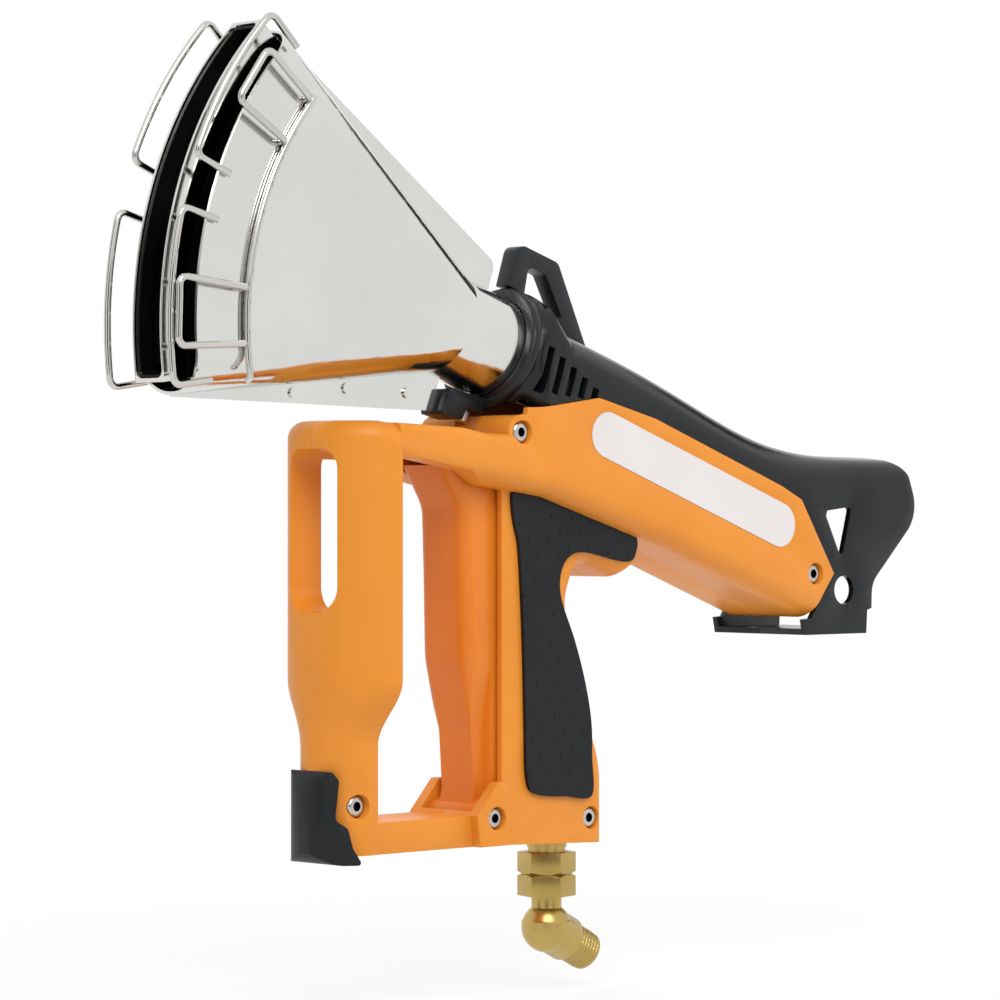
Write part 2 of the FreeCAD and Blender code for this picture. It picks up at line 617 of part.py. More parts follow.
def gas_valve():
    """Brass valve: a level barrel, a foot down to the inlet and an outlet for the pipe."""
    body = new_body("gas_valve")
    revolve(body, "Barrel", [
        (k.valve_front, k.plunger_radius + k.plunger_play), (k.valve_front, k.valve_radius),
        (2.0, k.valve_radius), (2.0, 0), (-14.0, 0), (-14.0, k.plunger_radius + k.plunger_play)])
    foot = draw_circle(new_sketch(body, "Foot", "XY_Plane"), k.inlet_x, 0, "Sizes.foot_radius")
    extrude(body, foot, "Sizes.valve_height - Sizes.grip_bottom - 7", reverse=True)
    outlet = draw_circle(new_sketch(body, "Outlet", "XY_Plane"), k.pipe_x, k.pipe_side,
                         "Sizes.pipe_radius + 1.2")
    extrude(body, outlet, "Sizes.valve_radius + 2")
    body.Placement = Placement(Vector(0, 0, k.valve_height), Rotation())
    body.setExpression("Placement.Base.z", "Sizes.valve_height")
    return body


def igniter():
    """Piezo igniter: a round body with a bore for its striker."""
    body = new_body("piezo_igniter")
    revolve(body, "Case", [
        (k.igniter_front, k.striker_radius + k.plunger_play), (k.igniter_front, k.igniter_radius),
        (k.igniter_back, k.igniter_radius), (k.igniter_back, 0), (-11.0, 0),
        (-11.0, k.striker_radius + k.plunger_play)])
    body.Placement = Placement(Vector(0, 0, k.igniter_height), Rotation())
    body.setExpression("Placement.Base.z", "Sizes.igniter_height")
    return body


# ---------------------------------------------------------------- gas inlet


def inlet_nipple():
    body = new_body("inlet_nipple")
    top = k.grip_bottom + 7.0
    bottom = k.grip_bottom - 2 * k.washer_height - 11.0
    revolve(body, "Nipple", [(0, top), (k.nipple_radius, top), (k.nipple_radius, bottom),
                             (0, bottom)], axis="Z_Axis")
    body.Placement = Placement(Vector(k.inlet_x, 0, 0), Rotation())
    body.setExpression("Placement.Base.x", "Sizes.inlet_x")
    return body


def inlet_washers():
    """Two flat sealing washers between the grip's foot and the nut."""
    group = DOC.addObject("Part::Feature", "inlet_washers")
    group.Label = "inlet_washers"
    rings = []
    for count in range(2):
        base = Vector(0, 0, k.grip_bottom - (count + 1) * k.washer_height)
        ring = Part.makeCylinder(k.washer_radius - 0.5 * count, k.washer_height, base)
        rings.append(ring.cut(Part.makeCylinder(k.nipple_radius, k.washer_height, base)))
    group.Shape = Part.makeCompound(rings)
    group.Placement = Placement(Vector(k.inlet_x, 0, 0), Rotation())
    return group


def union_nut():
    """Hexagon nut with the notch round its middle that marks a left-hand gas thread."""
    body = new_body("union_nut")
    top = k.grip_bottom - 2 * k.washer_height
    sketch = new_sketch(body, "Hexagon", "XY_Plane", "Sizes.grip_bottom - 2 * Sizes.washer_height")
    corner = k.nut_flats / math.sqrt(3)
    draw(sketch, [(corner * math.cos(math.radians(60 * i + 14)),
                   corner * math.sin(math.radians(60 * i + 14))) for i in range(6)])
    extrude(body, sketch, "Sizes.nut_height", reverse=True)
    seat = top - 11.0
    bore = new_sketch(body, "Bore", "XZ_Plane")
    draw(bore, [(0, top + 1), (k.nipple_radius, top + 1), (k.nipple_radius, seat - 1.4),
                (k.stem_radius + k.stem_play, seat - 1.4),
                (k.stem_radius + k.stem_play, top - k.nut_height - 1), (0, top - k.nut_height - 1)])
    turn = body.newObject("PartDesign::Groove", "BoreTurn")
    turn.Profile = bore
    turn.ReferenceAxis = (plane(body, "Z_Axis"), [""])
    turn.Angle = 360
    notch = new_sketch(body, "Notch", "XZ_Plane")
    middle_height = top - k.nut_height / 2
    draw(notch, [(k.nut_flats / 2 - 0.3, middle_height), (corner + 0.4, middle_height + 1.1),
                 (corner + 0.4, middle_height - 1.1)])
    ring = body.newObject("PartDesign::Groove", "NotchTurn")
    ring.Profile = notch
    ring.ReferenceAxis = (plane(body, "Z_Axis"), [""])
    ring.Angle = 360
    body.Placement = Placement(Vector(k.inlet_x, 0, 0), Rotation())
    body.setExpression("Placement.Base.x", "Sizes.inlet_x")
    return body


def hose_elbow():
    """Swivelling elbow: a collared stem held in the nut, a cast body and a threaded outlet."""
    body = new_body("hose_elbow")
    seat = k.grip_bottom - 2 * k.washer_height - 11.0 - 0.1
    revolve(body, "Stem", [
        (0, seat), (k.nipple_radius - 0.1, seat), (k.nipple_radius - 0.1, seat - 1.2),
        (k.stem_radius, seat - 1.2), (k.stem_radius, -95.0), (k.elbow_radius - 1.5, -95.6),
        (k.elbow_radius, -97.5), (k.elbow_radius, k.elbow_drop), (0, k.elbow_drop)],
        axis="Z_Axis")
    ball = body.newObject("PartDesign::AdditiveSphere", "Turn")
    ball.setExpression("Radius", "Sizes.elbow_radius")
    ball.AttachmentSupport = [(plane(body, "XY_Plane"), "")]
    ball.MapMode = "FlatFace"
    ball.AttachmentOffset = Placement(Vector(0, 0, k.elbow_drop), Rotation())
    outlet = body.newObject("PartDesign::AdditiveCylinder", "Outlet")
    outlet.setExpression("Radius", "Sizes.outlet_radius")
    outlet.setExpression("Height", "Sizes.outlet_reach")
    outlet.AttachmentSupport = [(plane(body, "XY_Plane"), "")]
    outlet.MapMode = "FlatFace"
    lean = Rotation(Vector(0, 1, 0), 90 + k.elbow_angle)
    outlet.AttachmentOffset = Placement(Vector(0, 0, k.elbow_drop), lean)
    collar = body.newObject("PartDesign::AdditiveCylinder", "OutletCollar")
    collar.setExpression("Radius", "Sizes.outlet_collar")
    collar.setExpression("Height", "Sizes.outlet_reach - 12")
    collar.AttachmentSupport = [(plane(body, "XY_Plane"), "")]
    collar.MapMode = "FlatFace"
    collar.AttachmentOffset = Placement(Vector(0, 0, k.elbow_drop), lean)
    hole = body.newObject("PartDesign::SubtractiveCylinder", "OutletBore")
    hole.setExpression("Radius", "Sizes.outlet_bore")
    hole.setExpression("Height", "Sizes.outlet_reach")
    hole.AttachmentSupport = [(plane(body, "XY_Plane"), "")]
    hole.MapMode = "FlatFace"
    shift = lean.multVec(Vector(0, 0, 6))
    hole.AttachmentOffset = Placement(Vector(0, 0, k.elbow_drop) + shift, lean)
    body.Placement = Placement(Vector(k.inlet_x, 0, 0), Rotation())
    body.setExpression("Placement.Base.x", "Sizes.inlet_x")
    return body


# ---------------------------------------------------------------- black housing


COVER = (      # X, top, then the arch across it: distance out and drop below the top, twice two
    (-8.0, 124.9, (7.5, 0.6, 14.0, 2.6), (20.8, 6.5, 24.4, 12.5)),
    (20.0, 115.5, (7.5, 0.6, 14.0, 2.6), (20.8, 6.5, 24.4, 12.5)),
    (60.0, 100.3, (7.5, 0.6, 14.0, 2.6), (20.8, 6.5, 24.4, 12.5)),
    (90.0, 88.6, (7.5, 0.6, 14.0, 2.6), (20.8, 6.3, 24.4, 12.0)),
    (112.0, 81.9, (7.8, 0.5, 14.8, 2.0), (21.1, 5.4, 24.4, 11.0)),
    (150.0, 77.3, (9.0, 0.3, 17.0, 1.2), (22.0, 3.9, 24.4, 8.5)),
    (190.0, 75.0, (9.5, 0.2, 18.0, 0.8), (22.3, 3.2, 24.4, 7.0)),
)
NOSE = (       # the same ahead of the hook, where the cover rises to the round collar
    (-8.0, 124.9, (7.5, 0.6, 14.0, 2.6), (20.8, 6.5, 24.4, 12.5)),
    (-44.0, 168.5, (7.5, 0.6, 14.0, 2.6), (20.8, 6.5, 24.4, 12.5)),
)


def cover_loft(body, name, stations, wall, side, ruled, cut=False):
    """Half of an arched tunnel through the stations, its surface moved in by wall."""
    share = (k.housing_half_width - wall) / 24.4
    sketches = []
    for x, top, crown, shoulder in stations:
        sketch = new_sketch(body, f"{name}{len(sketches)}", "YZ_Plane", f"{x}")
        points = [Vector(0, top - wall, 0)]
        for out, drop in (crown[:2], crown[2:], shoulder[:2], shoulder[2:]):
            points.append(Vector(-side * out * share, top - wall - drop, 0))
        floor = k.tail_floor + wall if cut else 0.0
        foot, middle_foot = Vector(points[4].x, floor, 0), Vector(0, floor, 0)
        sketch.addGeometry([Part.Arc(*points[0:3]), Part.Arc(*points[2:5]),
                            Part.LineSegment(points[4], foot), Part.LineSegment(foot, middle_foot),
                            Part.LineSegment(middle_foot, points[0])], False)
        sketches.append(sketch)
    loft = body.newObject("PartDesign::SubtractiveLoft" if cut else "PartDesign::AdditiveLoft",
                          name)
    loft.Profile = sketches[0]
    loft.Sections = sketches[1:]
    loft.Ruled = ruled
    return loft


def housing_outline():
    """Side of the air housing below its top, clockwise from the foot of its front face."""
    gap = k.seam_gap
    return [
        barrel_point(k.collar_back, -20.0), barrel_point(k.collar_back, 60.0), (150.0, 190.0),
        (163.0, 81.0), (180.0, 72.0, 12.0), (187.0, 54.0, 14.0), (158.5, 27.0, 10.0),
        (158.2, 17.0), (155.6, 16.2), (155.0, k.tail_floor), (119.3, k.tail_floor),
        (118.0, 13.2), (122.4, 13.6), (129.1 + gap, 23.2), (k.body_tail + gap, 31.0),
        (116.3, 60.3), (104.5, 65.3 + gap), (34.0, 90.3 + gap), (3.9, 97.6 + gap),
        (-24.7, 93.8 + gap),
    ]


def turned_cut(body, name, corners):
    """A groove round the barrel axis; corners are given along the barrel and out from it."""
    sketch = draw(new_sketch(body, name, "XZ_Plane"), [barrel_point(*corner) for corner in corners])
    sketch.addGeometry(Part.LineSegment(Vector(*barrel_point(-50, 0), 0),
                                        Vector(*barrel_point(50, 0), 0)), True)
    groove = body.newObject("PartDesign::Groove", name + "Turn")
    groove.Profile = sketch
    groove.ReferenceAxis = (sketch, ["Axis0"])
    groove.Angle = 360
    return groove


def housing(label, side):
    body = new_body(label)
    cover_loft(body, "Cover", COVER, 0.0, side, ruled=False)
    cover_loft(body, "Nose", NOSE, 0.0, side, ruled=True)
    turned_cut(body, "RoundNose", [(40.0, 12.0), (40.0, 90.0), (-14.0, 90.0), (-14.0, 34.0),
                                   (k.collar_back, k.collar_radius - 0.3),
                                   (k.collar_back + 1, 12.0)])

    # inside: open below to the casing and behind to the air
    wall = k.housing_wall
    cover_loft(body, "Inside", COVER, wall, side, ruled=False, cut=True)
    slab(body, "NoseInside", [
        barrel_point(k.collar_back - wall, -40.0), barrel_point(k.collar_back - wall, 19.3),
        (-7.5, 122.3), (-7.5, 80.0)], "Sizes.neck_radius - 0.4", side, cut=True)
    turned_cut(body, "FrontBore", [(-6.0, 0.0), (-6.0, k.neck_radius - 1.1),
                                   (k.collar_back + 9, k.neck_radius - 1.1),
                                   (k.collar_back + 9, 0.0)])
    trim = everything_but(new_sketch(body, "Side", "XZ_Plane"), housing_outline())
    extrude(body, trim, "100", both=True, cut=True)

    # side openings at the tail
    slab(body, "TailWindow", [(130.0, 55.5, 1.5), (146.2, 57.2, 1.5), (140.2, 36.2, 1.5)],
         "Sizes.housing_half_width + 1", side, cut=True)
    peg(body, "TailHole", 141.5, 24.4, "5.6", "Sizes.housing_half_width + 1", side, cut=True)

    # cooling slots behind the collar, each shorter than the one before
    for count in range(5):
        along = 0.8 - 6.6 * count
        slot = [barrel_point(along, -14.5 + 1.6 * count), barrel_point(along, 3.0 - 1.6 * count),
                barrel_point(along - 3.2, 3.0 - 1.6 * count),
                barrel_point(along - 3.2, -14.5 + 1.6 * count)]
        slab(body, f"CoolingSlot{count}", slot, "Sizes.housing_half_width + 1", side, cut=True)
    return body


def collar_ring():
    body = new_body("collar_ring")
    bore = k.neck_radius + k.swivel_play
    revolve(body, "Ring", [
        (k.collar_back, bore), (k.collar_back, k.collar_radius),
        (k.collar_front - 1.0, k.collar_radius), (k.collar_front, k.collar_radius - 1.0),
        (k.collar_front, bore)])
    return along_barrel(body)


def hanging_hook():
    """Flat hook on the mid-plane with one eye, standing on the housing's top."""
    body = new_body("hanging_hook")
    sketch = draw(new_sketch(body, "Plate", "XZ_Plane"), [
        (-22.2, 139.1, 0.5), (-17.0, 155.0, 4.0), (3.5, 148.5, 4.0), (18.3, 117.0, 0.5),
        (3.2, 122.3), (5.2, 128.6, 2.0), (-3.0, 143.8, 2.5), (-12.0, 146.8, 2.5),
        (-14.2, 136.5, 2.0), (-14.0, 133.0), (-18.0, 137.9)])
    return extrude(body, sketch, "Sizes.hook_thickness", both=True) and body


def nozzle_latch():
    """Black catch block under the neck, fixed to the collar."""
    body = new_body("nozzle_latch")
    sketch = draw(new_sketch(body, "Block", "XZ_Plane"), [
        (k.collar_front, -26.0), (k.collar_front, -20.0), (26.5, -22.5, 1.5), (27.0, -32.5, 1.0),
        (17.0, -31.5, 1.0), (16.0, -26.0)])
    extrude(body, sketch, "12", both=True)
    hole = draw_circle(new_sketch(body, "PinHole", "XY_Plane"), k.latch_at, 0,
                       "Sizes.latch_radius + Sizes.plunger_play")
    extrude(body, hole, "40", cut=True)
    return along_barrel(body)


def latch_pin():
    """Spring-loaded locking pin with its pull knob."""
    body = new_body("latch_pin")
    revolve(body, "Pin", [(0, -19.3), (k.latch_radius, -19.3), (k.latch_radius, -26.3),
                          (2.8, -26.3), (2.8, -30.4), (2.2, -31.0), (0, -31.0)], axis="Z_Axis")
    x, z = barrel_point(k.latch_at, 0)
    body.Placement = Placement(Vector(x, 0, z), BARREL_TURN)
    return body


# ---------------------------------------------------------------- barrel tube and gas feed


def venturi_tube():
    """Mixing tube: bell mouth, throat and diffuser, ending in the spigot the nozzle turns on."""
    body = new_body("venturi_tube")
    wall = k.venturi_wall
    spigot = k.neck_radius - k.sheet - k.swivel_play
    throat = k.venturi_throat
    seat = k.collar_back - k.housing_wall - k.pad_gap
    revolve(body, "Tube", [
        (-92.0, throat + 2.4), (-91.0, throat + 2.4 + wall), (-83.0, throat + wall),
        (-70.0, throat + wall), (-8.5, 12.3), (0.6, 17.0), (0.6, spigot + 0.4),
        (seat, spigot + 0.4), (seat, spigot), (22.0, spigot), (22.0, spigot - wall),
        (0.6, spigot - wall - 0.8), (-8.5, 12.3 - wall), (-70.0, throat), (-83.0, throat)])
    return along_barrel(body)


def injector():
    """Brass gas jet on the barrel axis behind the venturi."""
    body = new_body("injector")
    revolve(body, "Jet", [(-126.0, 0), (-126.0, k.injector_radius), (-112.0, k.injector_radius),
                          (-108.0, 3.0), (-100.0, 2.0), (-100.0, 0.6), (-120.0, 0.6), (-120.0, 0)])
    return along_barrel(body)


def pipe_route():
    end_x, end_z = barrel_point(-119.0, -k.injector_radius - 0.75)
    return [Vector(k.pipe_x, k.pipe_side, k.valve_height + k.valve_radius + 2.0),
            Vector(k.pipe_x, k.pipe_side, 72.0), Vector(40.0, 4.0, 60.0),
            Vector(end_x, 0.0, 44.0), Vector(end_x, 0.0, end_z)]


def gas_pipe():
    """Copper pipe from the valve up through the grip and back to the injector."""
    points = pipe_route()
    edges = []
    start = points[0]
    for i in range(1, len(points) - 1):
        before = points[i] - points[i - 1]
        after = points[i + 1] - points[i]
        turn = before.getAngle(after)
        radius = 0.45 * min(before.Length, after.Length) / math.tan(turn / 2)
        reach = radius * math.tan(turn / 2)
        first = points[i] - before.normalize() * reach
        last = points[i] + after.normalize() * reach
        bisector = ((first - points[i]) + (last - points[i])).normalize()
        centre = points[i] + bisector * math.hypot(radius, reach)
        edges += [Part.LineSegment(start, first).toShape(),
                  Part.Arc(first, centre - bisector * radius, last).toShape()]
        start = last
    edges.append(Part.LineSegment(start, points[-1]).toShape())
    profile = Part.Wire(Part.makeCircle(k.pipe_radius, points[0], points[1] - points[0]))
    pipe = DOC.addObject("Part::Feature", "gas_pipe")
    pipe.Label = "gas_pipe"
    pipe.Shape = Part.Wire(edges).makePipeShell([profile], True, True)
    return pipe


# ---------------------------------------------------------------- nozzle


def arc_point(radius, degrees):
    """A point on an arc about the mouth's centre, in barrel coordinates."""
    turn = math.radians(degrees)
    return Vector(k.mouth_centre + radius * math.cos(turn), radius * math.sin(turn), 0)


def fan_half_height(along):
    return k.neck_radius + k.fan_slope * (along - k.neck_end)


def half_oval(sketch, side, half_height, half_depth, corner, whole=False):
    """Flat-sided oval across the barrel; only the half on one side unless whole."""
    top, rim = half_height, half_depth
    turn = corner * (1 - math.sqrt(0.5))
    if whole:
        draw(sketch, [(-rim, -top, corner), (-rim, top, corner), (rim, top, corner),
                      (rim, -top, corner)])
        return sketch
    out = side * rim
    inner = side * (rim - corner)
    slant = side * (rim - turn)
    points = [Vector(0, -top, 0), Vector(0, top, 0), Vector(inner, top, 0),
              Vector(slant, top - turn, 0),
              Vector(out, top - corner, 0), Vector(out, corner - top, 0),
              Vector(slant, turn - top, 0), Vector(inner, -top, 0)]
    pieces = [Part.Arc(points[2], points[3], points[4]), Part.Arc(points[5], points[6], points[7])]
    for start, end in ((0, 1), (1, 2), (4, 5), (7, 0)):
        if points[start].distanceToPoint(points[end]) > 1e-6:
            pieces.append(Part.LineSegment(points[start], points[end]))
    sketch.addGeometry(pieces, False)
    return sketch


def funnel(body, name, side, near, far, cut=False):
    """Loft between two half ovals; each is (along, half height, half depth, corner)."""
    sketches = []
    for end, (along, height, depth, corner) in (("Neck", near), ("Mouth", far)):
        sketch = new_sketch(body, name + end, "YZ_Plane", f"{along}")
        sketches.append(half_oval(sketch, side, height, depth, corner))
    kind = "PartDesign::SubtractiveLoft" if cut else "PartDesign::AdditiveLoft"
    loft = body.newObject(kind, name)
    loft.Profile = sketches[0]
    loft.Sections = [sketches[1]]
    loft.Ruled = True
    return loft


def mouth_cut(body, name, radius):
    """Trim the fan's front to an arc about the mouth's centre."""
    sketch = new_sketch(body, name, "XZ_Plane")
    low, tip, high = arc_point(radius, -40), arc_point(radius, 0), arc_point(radius, 40)
    far = k.mouth_centre + radius * 1.5
    sketch.addGeometry([
        Part.Arc(low, tip, high), Part.LineSegment(high, Vector(far, high.y, 0)),
        Part.LineSegment(Vector(far, high.y, 0), Vector(far, low.y, 0)),
        Part.LineSegment(Vector(far, low.y, 0), low)], False)
    return extrude(body, sketch, "100", both=True, cut=True)


RIVETS = ((71.0, 38.5), (110.0, 55.7), (42.0, -30.0), (70.0, -38.5), (93.0, -48.7))


def nozzle_shell(label, side):
    """One pressed half of the nozzle: neck, fan and the flanges it meets the other half with."""
    body = new_body(label)
    wall = k.sheet
    back = k.collar_back + 0.3
    far = k.mouth_centre + k.cowl_radius + 12.0
    neck, mouth = k.neck_radius, fan_half_height(far)
    funnel(body, "NeckOuter", side, (back, neck, neck, neck), (k.neck_end, neck, neck, neck))
    funnel(body, "FanOuter", side, (k.neck_end, neck, neck, neck - 0.5),
           (far, mouth, k.mouth_half_depth, k.mouth_half_depth - 1.0))
    flange = draw(new_sketch(body, "Flange", "XZ_Plane"), [
        (16.0, 12.0), (16.0, k.flange_neck, 4.0), (145.0, k.flange_mouth, 2.0), (145.0, 20.0),
        (145.0, -k.flange_mouth, 2.0), (k.flange_inner, -k.flange_neck - 1.5, 2.0),
        (k.flange_inner, -12.0)])
    extrude(body, flange, "Sizes.sheet", reverse=side == LEFT)
    funnel(body, "NeckInner", side, (back - 1, neck - wall, neck - wall, neck - wall),
           (k.neck_end, neck - wall, neck - wall, neck - wall), cut=True)
    funnel(body, "FanInner", side, (k.neck_end, neck - wall, neck - wall, neck - wall - 0.5),
           (far, mouth - wall, k.mouth_half_depth - wall, k.mouth_half_depth - 1.0 - wall), cut=True)
    mouth_cut(body, "CowlEdge", k.cowl_radius)
    for count, (along, above) in enumerate(RIVETS):
        hole = draw_circle(new_sketch(body, f"RivetHole{count}", "XZ_Plane"), along, above,
                           "Sizes.rivet_radius")
        extrude(body, hole, "10", both=True, cut=True)
    return along_barrel(body)


def duct_loft(body, name, wall, cut):
    """Flat funnel of the flame duct, its surface moved in by wall."""
    far = k.mouth_centre + k.rim_radius + 10.0
    sections = ((60.0, 20.0, 8.0), (far, fan_half_height(far) - 6.0, k.duct_half_depth))
    sketches = []
    for along, height, deep in sections:
        sketch = new_sketch(body, f"{name}{len(sketches)}", "YZ_Plane", f"{along}")
        half_oval(sketch, 1, height - wall, deep - wall, 3.0 - wall, whole=True)
        sketches.append(sketch)
    loft = body.newObject("PartDesign::SubtractiveLoft" if cut else "PartDesign::AdditiveLoft",
                          f"{name}Loft")
    loft.Profile = sketches[0]
    loft.Sections = [sketches[1]]
    loft.Ruled = True
    return loft


def flame_duct():
    """Dark inner duct that carries the flame to the slot of the mouth."""
    body = new_body("flame_duct")
    duct_loft(body, "Outer", 0.0, cut=False)
    duct_loft(body, "Inner", 1.0, cut=True)
    mouth_cut(body, "DuctEdge", k.rim_radius - 1.5)
    return along_barrel(body)


def arc_band(body, name, inner, outer, degrees, half_depth, cut=False):
    """A sector between two arcs about the mouth's centre, symmetric about the mid-plane."""
    sketch = new_sketch(body, name, "XZ_Plane")
    a, b, c = (arc_point(outer, d) for d in (-degrees, 0, degrees))
    p, q, r = (arc_point(inner, d) for d in (degrees, 0, -degrees))
    sketch.addGeometry([Part.Arc(a, b, c), Part.LineSegment(c, p), Part.Arc(p, q, r),
                        Part.LineSegment(r, a)], False)
    return extrude(body, sketch, half_depth, both=True, cut=cut)


def rim_band():
    """Bright band round the mouth of the flame duct."""
    body = new_body("rim_band")
    arc_band(body, "Band", k.rim_radius - k.rim_depth, k.rim_radius, 26.6,
             "2 * (Sizes.duct_half_depth + Sizes.sheet + 0.05)")
    duct_loft(body, "Slot", -k.pad_gap, cut=True)
    return along_barrel(body)


def flame_grid():
    """Perforated strip set back in the mouth."""
    body = new_body("flame_grid")
    arc_band(body, "Strip", k.rim_radius - 9.0, k.rim_radius - 8.0, 24.5,
             "2 * (Sizes.duct_half_depth - 1.3)")
    return along_barrel(body)


def wire(points, radius):
    """A round wire through points, bent with arcs at the inner ones."""
    edges = []
    start = points[0]
    for i in range(1, len(points) - 1):
        before = points[i] - points[i - 1]
        after = points[i + 1] - points[i]
        turn = before.getAngle(after)
        bend = min(4.0, 0.45 * min(before.Length, after.Length) / math.tan(turn / 2))
        reach = bend * math.tan(turn / 2)
        first = points[i] - before.normalize() * reach
        last = points[i] + after.normalize() * reach
        bisector = ((first - points[i]) + (last - points[i])).normalize()
        centre = points[i] + bisector * math.hypot(bend, reach)
        edges += [Part.LineSegment(start, first).toShape(),
                  Part.Arc(first, centre - bisector * bend, last).toShape()]
        start = last
    edges.append(Part.LineSegment(start, points[-1]).toShape())
    profile = Part.Wire(Part.makeCircle(radius, points[0], points[1] - points[0]))
    return Part.Wire(edges).makePipeShell([profile], True, True)


def cowl_depth(radius, degrees):
    """Half depth of the cowl's flat side at a point of the fan."""
    along = arc_point(radius, degrees).x
    far = k.mouth_centre + k.cowl_radius + 12.0
    share = (along - k.neck_end) / (far - k.neck_end)
    return k.neck_radius + share * (k.mouth_half_depth - k.neck_radius)


def wire_guard(label, side, first, last, legs):
    """A bail ahead of the mouth with two ends and legs that land on the cowl."""
    clear = k.wire_radius + 0.1

    def place(radius, degrees, out):
        point = arc_point(radius, degrees)
        return Vector(point.x, side * out, point.y)

    stand = cowl_depth(k.cowl_radius, 0) + clear
    steps = [first + (last - first) * i / 3 for i in range(4)]
    back = k.cowl_radius - 5.0
    route = [place(back, first, cowl_depth(back, first) + clear), place(k.wire_reach, first, stand)]
    route += [place(k.wire_reach, angle, stand) for angle in steps[1:-1]]
    route += [place(k.wire_reach, last, stand), place(back, last, cowl_depth(back, last) + clear)]
    solids = [wire(route, k.wire_radius)]
    for angle in legs:
        inner = k.arc_wire_reach + 1.5
        solids.append(wire([place(inner, angle, cowl_depth(inner, angle) + clear),
                            place(k.wire_reach - 0.6, angle, stand)], k.wire_radius))
    guard = DOC.addObject("Part::Feature", label)
    guard.Label = label
    guard.Shape = solids[0].fuse(solids[1:]).removeSplitter()
    return along_barrel(guard)


def arc_wire(label, side):
    """Wire across the cowl's flat side from edge to edge of the fan."""
    clear = k.wire_radius + 0.1
    points = []
    for i in range(6):
        angle = 22.0 - 10.0 * i
        point = arc_point(k.arc_wire_reach, angle)
        points.append(Vector(point.x, side * (cowl_depth(k.arc_wire_reach, angle) + clear), point.y))
    bow = DOC.addObject("Part::Feature", label)
    bow.Label = label
    bow.Shape = wire(points, k.wire_radius)
    return along_barrel(bow)


def flange_rivets():
    """Rivets that hold the two shells together through the flanges."""
    group = DOC.addObject("Part::Feature", "flange_rivets")
    group.Label = "flange_rivets"
    rivets = []
    for along, above in RIVETS:
        shank = Part.makeCylinder(k.rivet_radius, 2 * k.sheet + 1.6,
                                  Vector(along, -k.sheet - 0.8, above), Vector(0, 1, 0))
        for level in (-k.sheet - 0.8, k.sheet):
            head = Part.makeCylinder(k.rivet_radius + 0.6, 0.8, Vector(along, level, above),
                                     Vector(0, 1, 0))
            shank = shank.fuse(head)
        rivets.append(shank.removeSplitter())
    group.Shape = Part.makeCompound(rivets)
    return along_barrel(group)


# ---------------------------------------------------------------- build and write

PARTS = [
    casing("left_casing", LEFT),
    casing("right_casing", RIGHT),
    casing_screws(),
    label_plate(),
    grip_pad("left_grip_pad", LEFT),
    grip_pad("right_grip_pad", RIGHT),
    foot_bumper(),
    trigger(),
    gas_valve(),
    spindle("valve_plunger", k.valve_height, k.plunger_radius, 3.4, 16.5),
    igniter(),
    spindle("igniter_striker", k.igniter_height, k.striker_radius, 3.9, 14.5),
    inlet_nipple(),
    inlet_washers(),
    union_nut(),
    hose_elbow(),
    housing("left_housing", LEFT),
    housing("right_housing", RIGHT),
    collar_ring(),
    hanging_hook(),
    nozzle_latch(),
    latch_pin(),
    venturi_tube(),
    injector(),
    gas_pipe(),
    nozzle_shell("left_nozzle_shell", LEFT),
    nozzle_shell("right_nozzle_shell", RIGHT),
    flame_duct(),
    rim_band(),
    flame_grid(),
    wire_guard("upper_left_guard", LEFT, 26.0, 3.0, (21.5, 12.5)),
    wire_guard("lower_left_guard", LEFT, -4.0, -27.0, (-13.0, -22.0)),
    wire_guard("upper_right_guard", RIGHT, 26.0, 3.0, (21.5, 12.5)),
    wire_guard("lower_right_guard", RIGHT, -4.0, -27.0, (-13.0, -22.0)),
    arc_wire("left_arc_wire", LEFT),
    arc_wire("right_arc_wire", RIGHT),
    flange_rivets(),
]

DOC.recompute()
for thing in DOC.Objects:
    if "Invalid" in thing.State or "Error" in thing.State:
        raise RuntimeError(f"{thing.Name} failed: {thing.State}")

os.makedirs("parts", exist_ok=True)
for part in PARTS:
    shape = part.Shape
    if shape.isNull() or not shape.isValid():
        raise RuntimeError(f"{part.Label} has no valid shape")
    shape.exportStep(f"parts/{part.Label}.step")
    print(part.Label, len(shape.Solids), "solids", round(shape.Volume), "mm3")
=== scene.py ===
import math

import bmesh
import bpy
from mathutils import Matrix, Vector


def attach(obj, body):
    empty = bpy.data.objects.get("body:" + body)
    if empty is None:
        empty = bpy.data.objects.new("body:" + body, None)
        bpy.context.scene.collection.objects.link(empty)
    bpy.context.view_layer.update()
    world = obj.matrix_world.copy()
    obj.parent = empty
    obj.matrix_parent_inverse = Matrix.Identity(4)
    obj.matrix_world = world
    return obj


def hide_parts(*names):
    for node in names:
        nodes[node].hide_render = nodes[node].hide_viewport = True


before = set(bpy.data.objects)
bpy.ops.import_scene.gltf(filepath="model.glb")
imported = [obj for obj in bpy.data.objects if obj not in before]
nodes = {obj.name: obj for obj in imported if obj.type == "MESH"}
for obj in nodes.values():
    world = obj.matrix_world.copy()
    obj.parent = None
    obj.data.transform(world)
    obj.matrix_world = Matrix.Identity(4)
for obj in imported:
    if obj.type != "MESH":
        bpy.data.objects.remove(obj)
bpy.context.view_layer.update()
MM = 0.001

# ---------------------------------------------------------------------------
# Orange casing halves: glass-filled nylon mouldings, fine spark texture,
# joined on the mid-plane by sunk screws.


def shader(name, **values):
    """A material with its Principled shader, the plain values set on the shader's own sockets."""
    material = bpy.data.materials.new(name)
    material.use_nodes = True
    tree = material.node_tree
    surface = tree.nodes["Principled BSDF"]
    for socket, value in values.items():
        surface.inputs[socket.replace("_", " ")].default_value = value
    return material, tree, surface


